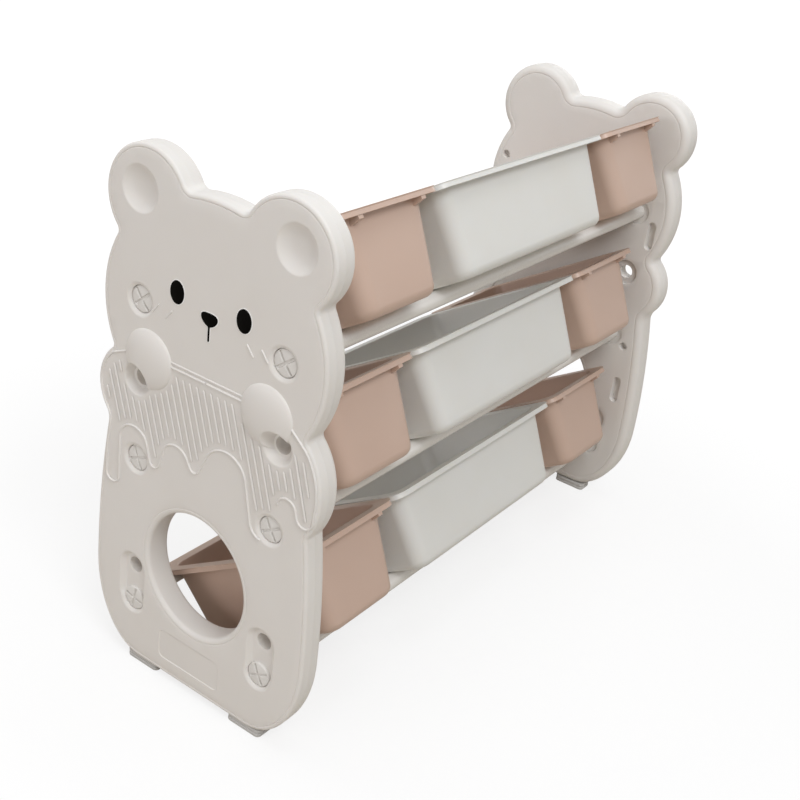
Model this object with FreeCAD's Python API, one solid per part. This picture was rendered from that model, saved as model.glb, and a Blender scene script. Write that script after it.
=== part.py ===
import FreeCAD, Part
import math
import os

# Kids shelving unit: two bear-shaped end panels, six rods and nine bins that lift off.
# +X runs along the rods, +Y from the open front to the rear, +Z up.
# The origin is on the floor under the middle of the unit. Lengths are in millimetres.

Vector = FreeCAD.Vector

# Rack
rack_length = 990.0  # between the outer faces of the two end panels
rod_spacing = 240.0  # front rods to rear rods
row_pitch = 234.0  # one row of rods to the next
bottom_row_height = 96.0  # lowest rods above the panels' bottom edge
overrun = 2.0  # how far a cutting form runs past the face it leaves
seat_gap = 0.3  # free space where a round form lies in or on another

# End panel
panel_thickness = 40.0
panel_height = 768.0
panel_width = 390.0
outer_round = 7.0
inner_round = 13.0

# Outline of the panel: widths are shares of half its width, heights shares of its height
head_width_share = 0.959
head_height_share = 0.224
head_level_share = 0.728
ear_radius = 71.0
ear_reach_share = 0.944
short_sleeve_radius = 69.0
short_sleeve_level_share = 0.555
long_sleeve_half_width = 78.0
long_sleeve_half_height = 94.0
long_sleeve_level_share = 0.522
body_corner_width = 90.0
body_corner_height = 138.0
body_shoulder_share = 0.86
body_shoulder_level_share = 0.54
ear_notch_round = 14.0
ear_side_round = 9.0
sleeve_notch_round = 8.0
sleeve_merge_round = 24.0
sleeve_end_round = 6.0
smooth_limit = 0.98  # cosine between two walls above which their joint counts as smooth

# Relief of the outer face
ear_dish_radius = 36.0
ear_dish_depth = 8.0
ear_dish_rim_share = 0.3
ear_dish_offset = 12.0
dish_rise = 0.2  # the dish is cut this much shallow, so that its rim stays a clean edge
paw_radius = 41.0
paw_height = 10.5
paw_spread = 202.0
paw_rise_share = 0.671  # height between the middle and the top row
hole_radius = 95.0
hole_round = 8.0
hole_level_share = 0.413  # height between the bottom and the middle row

# Knitted sweater on the outer face, with a dripping lower edge
sweater_rise = 0.8
sweater_inset = 3.5  # inside the outer rim's rounding
neck_rise_share = 0.69  # height between the middle and the top row
neck_end_rise_share = 0.611  # the same where the neckline meets the panel's sides
rib_pitch = 12.2
rib_width = 3.4
rib_rise = 0.8
rib_end_margin = 9.0  # ribs' lower ends above the sweater's edge
rib_side_margin = 7.0  # ribs beside that edge
rib_clearance = 4.0  # round the paws and the recesses
rib_least_length = 10.0
rib_top_rise_share = 0.641
# Circles that the lower edge runs round, drips and hollows in turn from the front: place across
# and radius as shares of half the width, height above the middle row as a share of the row pitch
drip_shares = ((-0.841, -0.171, 0.064), (-0.656, 0.098, 0.126), (-0.436, 0.047, 0.054),
               (-0.244, 0.128, 0.113), (-0.064, 0.152, 0.051), (0.210, 0.192, 0.174),
               (0.600, 0.013, 0.138), (0.733, 0.192, 0.059), (0.867, 0.188, 0.064))

# Screw, plug and rod
rod_diameter = 25.0
rod_wall = 1.5
screw_head_diameter = 37.0
screw_head_height = 6.0
screw_head_inset = 1.0
screw_crown = 1.2
screw_neck_diameter = 20.0
screw_thread_diameter = 14.0
screw_thread_length = 20.0
screw_slot_width = 3.0
screw_slot_depth = 2.5
screw_slot_length = 31.0
neck_clearance = 0.5
thread_clearance = 0.2
plug_length = 25.0
plug_clearance = 0.1
recess_gap = 0.7
seat_flare = 3.8  # how much wider a recess is at the face, over its flare's depth
seat_flare_depth = 2.2
web_thickness = 14.0
socket_ring_width = 9.5
socket_ring_depth = 5.0
screw_turns = (78.0, 27.0, 24.0, 31.0, 41.0, 38.0)  # degrees that each cross slot is turned

# Spare rod holes
spare_hole_diameter = 24.0
spare_recess_depth = 11.0
spare_hole_spread = 244.0
paw_hole_rise_share = 0.515
keyhole_rise_share = 0.235
keyhole_radius = 18.0
paw_floor_radius = 16.0
paw_flare = 7.5

# Recesses of the inner face
blind_hole_diameter = 14.0
blind_hole_depth = 12.0
blind_hole_shares = ((0.81, 1.132), (-0.77, -0.077))  # of half the width, and up from mid row
inner_slot_width = 14.0
inner_slot_height = 50.0
inner_slot_spread = 308.0
inner_slot_rise_shares = (0.547, 0.846)  # above the bottom and above the middle row

# Eyes and nose
eye_half_width = 12.0
eye_half_height = 15.7
eye_spread = 111.0
eye_rise = 32.0  # eyes above the top row
nose_half_width = 20.5  # before its corners are rounded
nose_height = 21.5
nose_round = 5.5
nose_tip_round = 3.0
nose_drop = 10.0  # top edge of the nose under the eyes' centres
mouth_length = 18.0
mouth_width = 2.6
inlay_thickness = 0.8

# Feet
foot_length = 60.0
foot_width = 34.0
foot_drop = 12.0
foot_corner = 7.0
foot_seat_height = 6.0
foot_seat_inset = 4.0
foot_spread = 200.0
foot_groove_height = 3.0
foot_groove_depth = 1.2
foot_clearance = 0.2

# Bins
bin_tilt = 32.0
bin_wall = 2.5
rim_thickness = 3.0
rim_width = 16.0
rod_gap = 1.0  # front wall behind the front rod
skirt_gap = 0.6  # skirt in front of the front rod
skirt_height = 8.0
skirt_thickness = 2.5
rim_corner = 20.0
tub_corner = 24.0
rear_reach = 90.0  # rear wall past the rear rod, along the bin's floor
front_draft = 11.4
rear_draft = 11.4
end_draft = 13.7
small_bin_length = 208.0
bin_gap = 6.0
end_gap = 16.0
floor_round = 13.0
rim_edge_round = 1.2
gusset_width = 9.0
gusset_height = 14.0

# Places that follow from the sizes above
half_length = rack_length / 2
half_width = panel_width / 2
row_heights = [foot_drop + bottom_row_height + row * row_pitch for row in range(3)]
bottom_row, middle_row, top_row = row_heights
rod_radius = rod_diameter / 2
rod_bore_radius = rod_radius - rod_wall
recess_depth = screw_head_height + screw_head_inset
web_end = recess_depth + web_thickness
recess_floor_radius = screw_head_diameter / 2 + recess_gap
recess_face_radius = recess_floor_radius + seat_flare
socket_radius = rod_radius + seat_gap
socket_ring_radius = socket_radius + socket_ring_width
keyhole_level = bottom_row + keyhole_rise_share * row_pitch
paw_hole_level = middle_row + paw_hole_rise_share * row_pitch
paw_level = middle_row + paw_rise_share * row_pitch
hole_level = bottom_row + hole_level_share * row_pitch
eye_level = top_row + eye_rise
nose_top = eye_level - nose_drop
neck_level = middle_row + neck_rise_share * row_pitch
neck_end_level = middle_row + neck_end_rise_share * row_pitch
rib_top = middle_row + rib_top_rise_share * row_pitch
head_level = foot_drop + head_level_share * panel_height
ear_y = ear_reach_share * half_width - ear_radius
ear_z = foot_drop + panel_height - ear_radius
foot_places = (-foot_spread / 2, foot_spread / 2)
tilt = math.radians(bin_tilt)
rod_forward = rod_spacing / 2 * math.cos(tilt)  # rods from the middle, along a bin's floor
rod_upward = rod_spacing / 2 * math.sin(tilt)  # and square to the floor
floor_level = rod_radius + seat_gap - rod_upward
rim_level = rod_radius + seat_gap + rod_upward
rim_top = rim_level + rim_thickness
front_wall = rod_radius + rod_gap - rod_forward
rim_front = -(rod_forward + rod_radius + skirt_gap + skirt_thickness)
rear_wall = rod_forward + rear_reach
rim_rear = rear_wall + rim_width
inner_span = rack_length - 2 * panel_thickness
large_bin_length = inner_span - 2 * (small_bin_length + bin_gap + end_gap)


def outer_point(y, z, depth=0.0):
    """Point on the +X panel, at a depth inward from its outer face."""
    return Vector(half_length - depth, y, z)


def mirrored(shape):
    """The same shape on the -X panel: one mould serves both, turned half round."""
    turned_copy = shape.copy()
    turned_copy.rotate(Vector(0, 0, 0), Vector(0, 0, 1), 180)
    return turned_copy


def placed(shape, y, z):
    """Copy of a shape made on the X axis, moved to a place on the panel."""
    moved = shape.copy()
    moved.translate(Vector(0, y, z))
    return moved


def turned(profile):
    """Solid turned about the X axis from (radius, depth) corners."""
    corners = [outer_point(0, radius, depth) for radius, depth in profile]
    wire = Part.makePolygon(corners + corners[:1])
    return Part.Face(wire).revolve(Vector(0, 0, 0), Vector(1, 0, 0), 360)


def turned_edges(edges):
    """Solid turned about the X axis from a closed run of edges."""
    return Part.Face(Part.Wire(edges)).revolve(Vector(0, 0, 0), Vector(1, 0, 0), 360)


def segment(start, end):
    """Straight edge between two (radius, depth) places."""
    return Part.LineSegment(outer_point(0, *start), outer_point(0, *end)).toShape()


def arc(start, middle, end):
    """Round edge through three (radius, depth) places."""
    points = [outer_point(0, *place) for place in (start, middle, end)]
    return Part.Arc(*points).toShape()


def oval_face(y, z, half_across, half_up):
    """Flat elliptical face on the outer plane."""
    centre = outer_point(y, z)
    side = outer_point(y + half_across, z)
    top = outer_point(y, z + half_up)
    long_end, short_end = (side, top) if half_across > half_up else (top, side)
    return Part.Face(Part.Wire(Part.Ellipse(long_end, short_end, centre).toShape()))


def disc_face(y, z, radius):
    """Flat round face on the outer plane."""
    circle = Part.Circle(outer_point(y, z), Vector(1, 0, 0), radius)
    return Part.Face(Part.Wire(circle.toShape()))


def body_side(side):
    """Bottom corner and side of the bear's body, from the bottom edge upward."""
    level = foot_drop + body_corner_height
    shoulder_level = foot_drop + body_shoulder_level_share * panel_height
    corner_centre = outer_point(side * (half_width - body_corner_width), level)
    corner_foot = outer_point(side * (half_width - body_corner_width), foot_drop)
    corner_side = outer_point(side * half_width, level)
    corner = Part.Ellipse(corner_foot, corner_side, corner_centre).toShape(0, math.pi / 2)
    drawn_in = half_width * (1 - body_shoulder_share)
    climb = shoulder_level - level
    radius = (climb ** 2 + drawn_in ** 2) / (2 * drawn_in)
    half_turn = math.asin(climb / radius) / 2
    bulge = outer_point(side * (half_width - radius * (1 - math.cos(half_turn))),
                        level + radius * math.sin(half_turn))
    shoulder = outer_point(side * (half_width - drawn_in), shoulder_level)
    return [corner, Part.Arc(corner_side, bulge, shoulder).toShape()]


def body_face():
    """Flat face of the bear's body, up to the shoulders."""
    left, right = body_side(-1), body_side(1)
    corner_inset = half_width - body_corner_width
    bottom = Part.LineSegment(outer_point(-corner_inset, foot_drop),
                              outer_point(corner_inset, foot_drop)).toShape()
    level = foot_drop + body_shoulder_level_share * panel_height
    reach = half_width * body_shoulder_share
    top = Part.LineSegment(outer_point(-reach, level), outer_point(reach, level)).toShape()
    edges = Part.__sortEdges__([bottom, *left, *right, top])
    return Part.Face(Part.Wire(edges))


def head_and_sleeves(inset):
    """Flat faces of the head and of both sleeves, drawn in by an inset."""
    head = oval_face(0, head_level, head_width_share * half_width - inset,
                     head_height_share * panel_height - inset)
    short_sleeve = disc_face(short_sleeve_radius - half_width,
                             foot_drop + short_sleeve_level_share * panel_height,
                             short_sleeve_radius - inset)
    long_sleeve = oval_face(half_width - long_sleeve_half_width,
                            foot_drop + long_sleeve_level_share * panel_height,
                            long_sleeve_half_width - inset, long_sleeve_half_height - inset)
    return [head, short_sleeve, long_sleeve]


def outline_solid():
    """The panel's blank: head, ears, sleeves and body joined at full thickness."""
    inward = Vector(-panel_thickness, 0, 0)
    ears = [disc_face(side * ear_y, ear_z, ear_radius) for side in (-1, 1)]
    forms = [form.extrude(inward) for form in (*head_and_sleeves(0), *ears)]
    return body_face().extrude(inward).fuse(forms).removeSplitter().Solids[0]


def is_sharp(solid, edge):
    """Whether the two walls beside an upright edge meet at an angle."""
    faces = solid.ancestorsOfType(edge, Part.Face)
    middle = edge.valueAt((edge.FirstParameter + edge.LastParameter) / 2)
    normals = [face.normalAt(*face.Surface.parameter(middle)) for face in faces]
    return len(normals) > 1 and abs(normals[0].dot(normals[1])) < smooth_limit


def notch_round(place):
    """Radius of the notch at a place of the outline."""
    if place.z > ear_z:
        return ear_notch_round
    if place.z > head_level:
        return ear_side_round
    if place.z > middle_row + row_pitch / 2:
        return sleeve_notch_round
    return sleeve_merge_round if place.y < 0 else sleeve_end_round


def rounded_blank():
    """The blank with its notches rounded, then both of its rims."""
    blank = outline_solid()
    upright = [edge for edge in blank.Edges if edge.BoundBox.XLength > panel_thickness / 2]
    places = [edge.BoundBox.Center for edge in upright if is_sharp(blank, edge)]
    for place in places:
        near = min(blank.Edges, key=lambda edge: edge.BoundBox.Center.distanceToPoint(place))
        blank = blank.makeFillet(notch_round(place), [near])
    outer_plane = half_length - panel_thickness / 4
    inner_plane = half_length - 3 * panel_thickness / 4
    outer_rim = [edge for edge in blank.Edges if edge.BoundBox.XMin > outer_plane]
    blank = blank.makeFillet(outer_round, outer_rim)
    inner_rim = [edge for edge in blank.Edges if edge.BoundBox.XMax < inner_plane]
    return blank.makeFillet(inner_round, inner_rim)


def ear_dish():
    """Cutter for the soft round dish of an ear: a bowl that rolls over at its rim."""
    both_radii = (ear_dish_radius ** 2 + ear_dish_depth ** 2) / (2 * ear_dish_depth)
    rim = ear_dish_rim_share * both_radii
    bowl = both_radii - rim
    turn = math.asin(ear_dish_radius / both_radii)
    lip = (ear_dish_radius, -dish_rise)
    lip_bulge = (ear_dish_radius - rim * math.sin(turn / 2),
                 rim * (1 - math.cos(turn / 2)) - dish_rise)
    join = (bowl * math.sin(turn), ear_dish_depth - bowl * (1 - math.cos(turn)) - dish_rise)
    bowl_bulge = (bowl * math.sin(turn / 2),
                  ear_dish_depth - bowl * (1 - math.cos(turn / 2)) - dish_rise)
    bottom = (0, ear_dish_depth - dish_rise)
    above = -dish_rise - overrun
    return turned_edges([segment((0, above), (ear_dish_radius, above)),
                         segment((ear_dish_radius, above), lip),
                         arc(lip, lip_bulge, join),
                         arc(join, bowl_bulge, bottom),
                         segment(bottom, (0, above))])


def paw_dome():
    """Low round cap of a paw, standing on the outer face."""
    ball_radius = (paw_radius ** 2 + paw_height ** 2) / (2 * paw_height)
    ball = Part.makeSphere(ball_radius, outer_point(0, 0, ball_radius - paw_height))
    backing = Part.makeBox(panel_thickness / 2 + paw_height, 2 * paw_radius, 2 * paw_radius,
                           outer_point(-paw_radius, -paw_radius, panel_thickness / 2))
    return ball.common(backing)


def drip_circles():
    """Circles of the sweater's lower edge: place across, height, radius and way round."""
    ways = (1, -1) * len(drip_shares)
    return [(across * half_width, middle_row + up * row_pitch, size * half_width, way)
            for (across, up, size), way in zip(drip_shares, ways)]


def touching_angles(first, second):
    """Angles at which the edge leaves one circle and meets the next, on a line that crosses over."""
    y, z, radius, way = first
    next_y, next_z, next_radius, next_way = second
    gap = math.hypot(next_y - y, next_z - z)
    lean = math.atan2(next_z - z, next_y - y)
    lean += math.acos((next_way * next_radius - way * radius) / gap)
    return (lean + math.pi, lean) if way > 0 else (lean, lean + math.pi)


def drip_edges():
    """Lower edge of the sweater from the front to the rear: arcs and the lines between them."""
    circles = drip_circles()
    touches = [touching_angles(*pair) for pair in zip(circles, circles[1:])]
    begins = [math.pi] + [meet for leave, meet in touches]
    ends = [leave for leave, meet in touches] + [0]
    edges = []
    for (y, z, radius, way), begin, end in zip(circles, begins, ends):
        sweep = way * ((way * (end - begin)) % (2 * math.pi))
        points = [outer_point(y + radius * math.cos(angle), z + radius * math.sin(angle))
                  for angle in (begin, begin + sweep / 2, begin + sweep)]
        if edges:
            edges.append(Part.LineSegment(edges[-1].Vertexes[-1].Point, points[0]).toShape())
        edges.append(Part.Arc(*points).toShape())
    return edges


def sweater():
    """Raised sweater area: above its dripping edge, under the neckline, inside the panel's rim."""
    edges = drip_edges()
    front, rear = drip_circles()[0], drip_circles()[-1]
    start, end = edges[0].Vertexes[0].Point, edges[-1].Vertexes[-1].Point
    rear_low, rear_high = (outer_point(half_width, rear[1] + rear[2]),
                           outer_point(half_width, neck_end_level))
    front_low, front_high = (outer_point(-half_width, front[1] + front[2]),
                             outer_point(-half_width, neck_end_level))
    edges += [Part.LineSegment(end, rear_low).toShape(),
              Part.LineSegment(rear_low, rear_high).toShape(),
              Part.Arc(rear_high, outer_point(0, neck_level), front_high).toShape(),
              Part.LineSegment(front_high, front_low).toShape(),
              Part.LineSegment(front_low, start).toShape()]
    raised = Vector(sweater_rise, 0, 0)
    inset = outer_round + sweater_inset
    body = body_face().scaled(1 - inset / half_width, outer_point(0, middle_row))
    forms = [form.extrude(raised) for form in head_and_sleeves(inset)]
    field = body.extrude(raised).fuse(forms)
    return Part.Face(Part.Wire(edges)).extrude(raised).common(field).removeSplitter()


def rib_field(pad):
    """Part of the sweater that ribs may run over."""
    field = pad
    for y, z in ((0, rib_end_margin), (rib_side_margin, 0), (-rib_side_margin, 0)):
        field = field.common(placed(pad, y, z))
    above = outer_point(0, 0, -sweater_rise - overrun)
    sides = (-1, 1)
    rounds = [(side * paw_spread / 2, paw_level, paw_radius) for side in sides]
    rounds += [(side * spare_hole_spread / 2, paw_hole_level, paw_floor_radius + paw_flare)
               for side in sides]
    rounds += [(side * rod_spacing / 2, level, recess_face_radius)
               for side in sides for level in row_heights]
    posts = [placed(Part.makeCylinder(radius + rib_clearance, panel_thickness, above,
                                      Vector(-1, 0, 0)), y, z) for y, z, radius in rounds]
    return field.cut(posts)


def ribs(pad):
    """Upright knit ribs: rods sunk in the sweater so that a low round ridge stands out."""
    field = rib_field(pad)
    radius = ((rib_width / 2) ** 2 + rib_rise ** 2) / (2 * rib_rise)
    axis_depth = radius - rib_rise - sweater_rise
    count = math.floor(half_width / rib_pitch)
    made = []
    for y in (index * rib_pitch for index in range(-count, count + 1)):
        line = Part.LineSegment(outer_point(y, foot_drop, -sweater_rise / 2),
                                outer_point(y, rib_top, -sweater_rise / 2)).toShape()
        for run in line.common(field).Edges:
            if run.Length > rib_least_length:
                base = outer_point(y, run.BoundBox.ZMin, axis_depth)
                made.append(Part.makeCylinder(radius, run.Length, base))
    return made


def rod_seat():
    """Cutter for a rod's place: screw recess, neck hole, rod socket and the ring round it."""
    neck = screw_neck_diameter / 2 + neck_clearance
    ring_start = panel_thickness - socket_ring_depth
    flare = seat_flare / seat_flare_depth
    return turned([(0, -overrun), (recess_face_radius + flare * overrun, -overrun),
                   (recess_floor_radius, seat_flare_depth),
                   (recess_floor_radius, recess_depth), (neck, recess_depth),
                   (neck, web_end), (socket_radius, web_end),
                   (socket_radius, ring_start), (socket_ring_radius, ring_start),
                   (socket_ring_radius, panel_thickness + overrun),
                   (0, panel_thickness + overrun)])


def spare_hole():
    """Cutter for a spare rod hole with a ring round it on the inner face."""
    hole = spare_hole_diameter / 2
    ring_start = panel_thickness - socket_ring_depth
    return turned([(0, -overrun), (hole, -overrun), (hole, ring_start),
                   (socket_ring_radius, ring_start),
                   (socket_ring_radius, panel_thickness + overrun),
                   (0, panel_thickness + overrun)])


def paw_recess():
    """Cutter for the flared recess of a spare hole, its seam line turned away from the paw."""
    start = paw_height + overrun
    flare = paw_flare / spare_recess_depth
    cutter = turned([(0, -start), (paw_floor_radius + paw_flare + flare * start, -start),
                     (paw_floor_radius, spare_recess_depth), (0, spare_recess_depth)])
    return cutter.rotated(Vector(0, 0, 0), Vector(1, 0, 0), 180)


def big_hole():
    """Cutter for the big round hole, rounded over at both faces."""
    lip = hole_radius + hole_round
    shallow = hole_round * (1 - math.sqrt(0.5))
    back = panel_thickness - hole_round
    outer, inner = -overrun, panel_thickness + overrun
    return turned_edges([segment((0, outer), (lip, outer)),
                         segment((lip, outer), (lip, 0)),
                         arc((lip, 0), (hole_radius + shallow, shallow), (hole_radius, hole_round)),
                         segment((hole_radius, hole_round), (hole_radius, back)),
                         arc((hole_radius, back), (hole_radius + shallow, panel_thickness - shallow),
                             (lip, panel_thickness)),
                         segment((lip, panel_thickness), (lip, inner)),
                         segment((lip, inner), (0, inner)),
                         segment((0, inner), (0, outer))])


def stadium_wire(low, high, radius, depth):
    """Upright stadium outline on the X axis's plane y = 0, at a depth from the outer face."""
    left_low, left_high = outer_point(-radius, low, depth), outer_point(-radius, high, depth)
    right_low, right_high = outer_point(radius, low, depth), outer_point(radius, high, depth)
    top = Part.Arc(right_high, outer_point(0, high + radius, depth), left_high).toShape()
    bottom = Part.Arc(left_low, outer_point(0, low - radius, depth), right_low).toShape()
    left = Part.LineSegment(left_high, left_low).toShape()
    right = Part.LineSegment(right_low, right_high).toShape()
    return Part.Wire([top, left, bottom, right])


def keyhole():
    """Cutter that joins a bottom screw recess and the spare hole above it, flared outward."""
    flare = seat_flare / seat_flare_depth
    start = bottom_row + keyhole_radius / 2
    mouth = stadium_wire(start, keyhole_level,
                         keyhole_radius + seat_flare + flare * overrun, -overrun)
    waist = stadium_wire(start, keyhole_level, keyhole_radius, seat_flare_depth)
    bore = Part.Face(waist).extrude(Vector(seat_flare_depth - recess_depth, 0, 0))
    return Part.makeLoft([mouth, waist], True, True).fuse(bore)


def inner_slot():
    """Cutter for an upright slot of the inner face."""
    reach = (inner_slot_height - inner_slot_width) / 2
    wire = stadium_wire(-reach, reach, inner_slot_width / 2, panel_thickness + overrun)
    return Part.Face(wire).extrude(Vector(blind_hole_depth + overrun, 0, 0))


def foot_pocket():
    """Cutters for the seats of one panel's two feet."""
    length = foot_length - 2 * foot_seat_inset + 2 * foot_clearance
    width = foot_width - 2 * foot_seat_inset + 2 * foot_clearance
    corner = foot_corner - foot_seat_inset + foot_clearance
    pockets = []
    for y in foot_places:
        outline = foot_outline(y, length, width, corner, foot_drop - overrun)
        pockets.append(outline.extrude(Vector(0, 0, foot_seat_height + overrun)))
    return pockets


def foot_outline(y, length, width, corner, level):
    """Rounded rectangle under the middle of the +X panel's thickness."""
    x = half_length - panel_thickness / 2
    return Part.Face(rounded_wire(x - width / 2, x + width / 2,
                                  y - length / 2, y + length / 2, level, corner))


def rounded_wire(x_low, x_high, y_low, y_high, level, radius):
    """Rounded rectangle in a level plane."""
    centres = [(x_high - radius, y_low + radius), (x_high - radius, y_high - radius),
               (x_low + radius, y_high - radius), (x_low + radius, y_low + radius)]
    edges = []
    for quarter, (x, y) in enumerate(centres):
        circle = Part.Circle(Vector(x, y, level), Vector(0, 0, 1), radius)
        start = (quarter - 1) * math.pi / 2
        edges.append(Part.ArcOfCircle(circle, start, start + math.pi / 2).toShape())
    sides = []
    for quarter, edge in enumerate(edges):
        following = edges[(quarter + 1) % len(edges)]
        sides += [edge, Part.LineSegment(edge.valueAt(edge.LastParameter),
                                         following.valueAt(following.FirstParameter)).toShape()]
    return Part.Wire(sides)


def nose():
    """Nose and the line under it as one flat piece on the outer face."""
    raised = Vector(inlay_thickness, 0, 0)
    tip = nose_top - nose_height
    corners = [outer_point(-nose_half_width, nose_top), outer_point(0, tip),
               outer_point(nose_half_width, nose_top)]
    triangle = Part.Face(Part.makePolygon(corners + corners[:1])).extrude(raised)
    long_edges = [edge for edge in triangle.Edges if edge.BoundBox.XLength > inlay_thickness / 2]
    tip_edge = min(long_edges, key=lambda edge: edge.BoundBox.Center.z)
    top_edges = [edge for edge in long_edges if not edge.isSame(tip_edge)]
    triangle = triangle.makeFillet(nose_round, top_edges)
    tip_edge = min([edge for edge in triangle.Edges if edge.BoundBox.XLength > inlay_thickness / 2],
                   key=lambda edge: edge.BoundBox.Center.z)
    triangle = triangle.makeFillet(nose_tip_round, [tip_edge])
    line = Part.makeBox(inlay_thickness, mouth_width, mouth_length + nose_height / 2,
                        outer_point(-mouth_width / 2, tip - mouth_length))
    return triangle.fuse(line).removeSplitter()


def eyes():
    """The two upright oval eyes, flat on the outer face."""
    faces = [oval_face(side * eye_spread / 2, eye_level, eye_half_width, eye_half_height)
             for side in (-1, 1)]
    return Part.makeCompound([face.extrude(Vector(inlay_thickness, 0, 0)) for face in faces])


def end_panel():
    """The +X end panel with all its relief, holes and seats."""
    panel = rounded_blank()
    domes = [placed(paw_dome(), side * paw_spread / 2, paw_level) for side in (-1, 1)]
    pad = sweater()
    panel = panel.fuse([pad, *ribs(pad), *domes])
    cutters = [placed(big_hole(), 0, hole_level)]
    for side in (-1, 1):
        spare_y = side * spare_hole_spread / 2
        cutters += [placed(ear_dish(), side * (ear_y + ear_dish_offset), ear_z + ear_dish_offset),
                    placed(keyhole(), spare_y, 0),
                    placed(spare_hole(), spare_y, keyhole_level),
                    placed(spare_hole(), spare_y, paw_hole_level),
                    placed(paw_recess(), spare_y, paw_hole_level)]
        cutters += [placed(rod_seat(), side * rod_spacing / 2, z) for z in row_heights]
    cutters += foot_pocket()
    cutters += inner_recesses()
    return panel.cut(cutters).removeSplitter()


def inner_recesses():
    """Cutters for the blind holes and slots of the inner face."""
    cutters = []
    for across_share, up_share in blind_hole_shares:
        hole = Part.makeCylinder(blind_hole_diameter / 2, blind_hole_depth + overrun,
                                 outer_point(0, 0, panel_thickness + overrun), Vector(1, 0, 0))
        cutters.append(placed(hole, across_share * half_width,
                              middle_row + up_share * row_pitch))
    for row, rise_share in zip(row_heights, inner_slot_rise_shares):
        cutters += [placed(inner_slot(), side * inner_slot_spread / 2,
                           row + rise_share * row_pitch) for side in (-1, 1)]
    return cutters


def rod(side, height):
    """Tube between the two panels' webs, front or rear, at a row's height."""
    length = rack_length - 2 * web_end
    start = Vector(-length / 2, side * rod_spacing / 2, height)
    tube = Part.makeCylinder(rod_radius, length, start, Vector(1, 0, 0))
    bore = Part.makeCylinder(rod_bore_radius, length, start, Vector(1, 0, 0))
    return tube.cut(bore)


def rod_plug():
    """Plug in the end of a rod, bored for the screw."""
    outside = rod_bore_radius - plug_clearance
    bore = screw_thread_diameter / 2 + thread_clearance
    plug_end = web_end + plug_length
    return turned([(bore, web_end), (outside, web_end), (outside, plug_end), (bore, plug_end)])


def screw(turn):
    """Broad plastic screw with a crowned, cross-slotted head, turned to an angle."""
    head, neck, thread = (screw_head_diameter / 2, screw_neck_diameter / 2,
                          screw_thread_diameter / 2)
    head_edge = screw_head_inset + screw_crown
    crown_bulge = screw_head_inset + screw_crown / 4
    thread_end = web_end + screw_thread_length
    body = turned_edges([arc((0, screw_head_inset), (head / 2, crown_bulge), (head, head_edge)),
                         segment((head, head_edge), (head, recess_depth)),
                         segment((head, recess_depth), (neck, recess_depth)),
                         segment((neck, recess_depth), (neck, web_end)),
                         segment((neck, web_end), (thread, web_end)),
                         segment((thread, web_end), (thread, thread_end)),
                         segment((thread, thread_end), (0, thread_end)),
                         segment((0, thread_end), (0, screw_head_inset))])
    corner = outer_point(-screw_slot_length / 2, -screw_slot_width / 2,
                         screw_head_inset + screw_slot_depth)
    slot = Part.makeBox(screw_slot_depth + overrun, screw_slot_length, screw_slot_width, corner)
    cross = [slot.copy(), slot.copy()]
    cross[1].rotate(Vector(0, 0, 0), Vector(1, 0, 0), 90)
    body = body.cut(cross)
    body.rotate(Vector(0, 0, 0), Vector(1, 0, 0), turn)
    return body


def rod_ends(make):
    """One made piece at each of the six rod places of the +X panel."""
    places = [(side * rod_spacing / 2, z) for z in row_heights for side in (-1, 1)]
    return Part.makeCompound([placed(make(index), y, z) for index, (y, z) in enumerate(places)])


def foot(y):
    """Rubber foot: a grooved pad and the block that seats in the panel's bottom edge."""
    pad = foot_outline(y, foot_length, foot_width, foot_corner, 0)
    pad = pad.extrude(Vector(0, 0, foot_drop))
    groove_level = (foot_drop - foot_groove_height) / 2
    groove = foot_outline(y, foot_length + overrun, foot_width + overrun, foot_corner,
                          groove_level)
    core = foot_outline(y, foot_length - 2 * foot_groove_depth,
                        foot_width - 2 * foot_groove_depth,
                        foot_corner - foot_groove_depth, groove_level)
    rise = Vector(0, 0, foot_groove_height)
    pad = pad.cut(groove.extrude(rise).cut(core.extrude(rise)))
    seat = foot_outline(y, foot_length - 2 * foot_seat_inset, foot_width - 2 * foot_seat_inset,
                        foot_corner - foot_seat_inset, foot_drop)
    return pad.fuse(seat.extrude(Vector(0, 0, foot_seat_height))).removeSplitter()


def tub_section(length, level, inset):
    """Outline of a bin's tapered walls at a level, drawn in by a wall or not at all."""
    depth_share = (rim_level - level) / (rim_level - floor_level)
    half = length / 2 - rim_width - end_draft * depth_share - inset
    front = front_wall + front_draft * depth_share + inset
    rear = rear_wall - rear_draft * depth_share - inset
    return rounded_wire(-half, half, front, rear, level, tub_corner - inset)


def tub(length, low, high, inset, bottom_round):
    """Tapered block with a rounded floor edge."""
    block = Part.makeLoft([tub_section(length, low, inset), tub_section(length, high, inset)],
                          True, True)
    floor_edges = [edge for edge in block.Edges if edge.BoundBox.ZMax < (low + high) / 2]
    return block.makeFillet(bottom_round, floor_edges)


def rim(length):
    """Flange round a bin's mouth with the skirt that folds down from its edge."""
    half = length / 2
    skirt_level = rim_top - skirt_height
    plate = Part.Face(rounded_wire(-half, half, rim_front, rim_rear, skirt_level, rim_corner))
    plate = plate.extrude(Vector(0, 0, skirt_height))
    top_edges = [edge for edge in plate.Edges if edge.BoundBox.ZMin > rim_top - skirt_height / 2]
    plate = plate.makeFillet(rim_edge_round, top_edges)
    hollow = Part.Face(rounded_wire(skirt_thickness - half, half - skirt_thickness,
                                    rim_front + skirt_thickness, rim_rear - skirt_thickness,
                                    skirt_level, rim_corner - skirt_thickness))
    fold = skirt_height - rim_thickness
    rod_notch = Part.makeBox(length + overrun, front_wall - rim_front - skirt_thickness,
                             fold + overrun,
                             Vector(-(length + overrun) / 2, rim_front + skirt_thickness,
                                    skirt_level - overrun))
    return plate.cut([hollow.extrude(Vector(0, 0, fold)), rod_notch])


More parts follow.
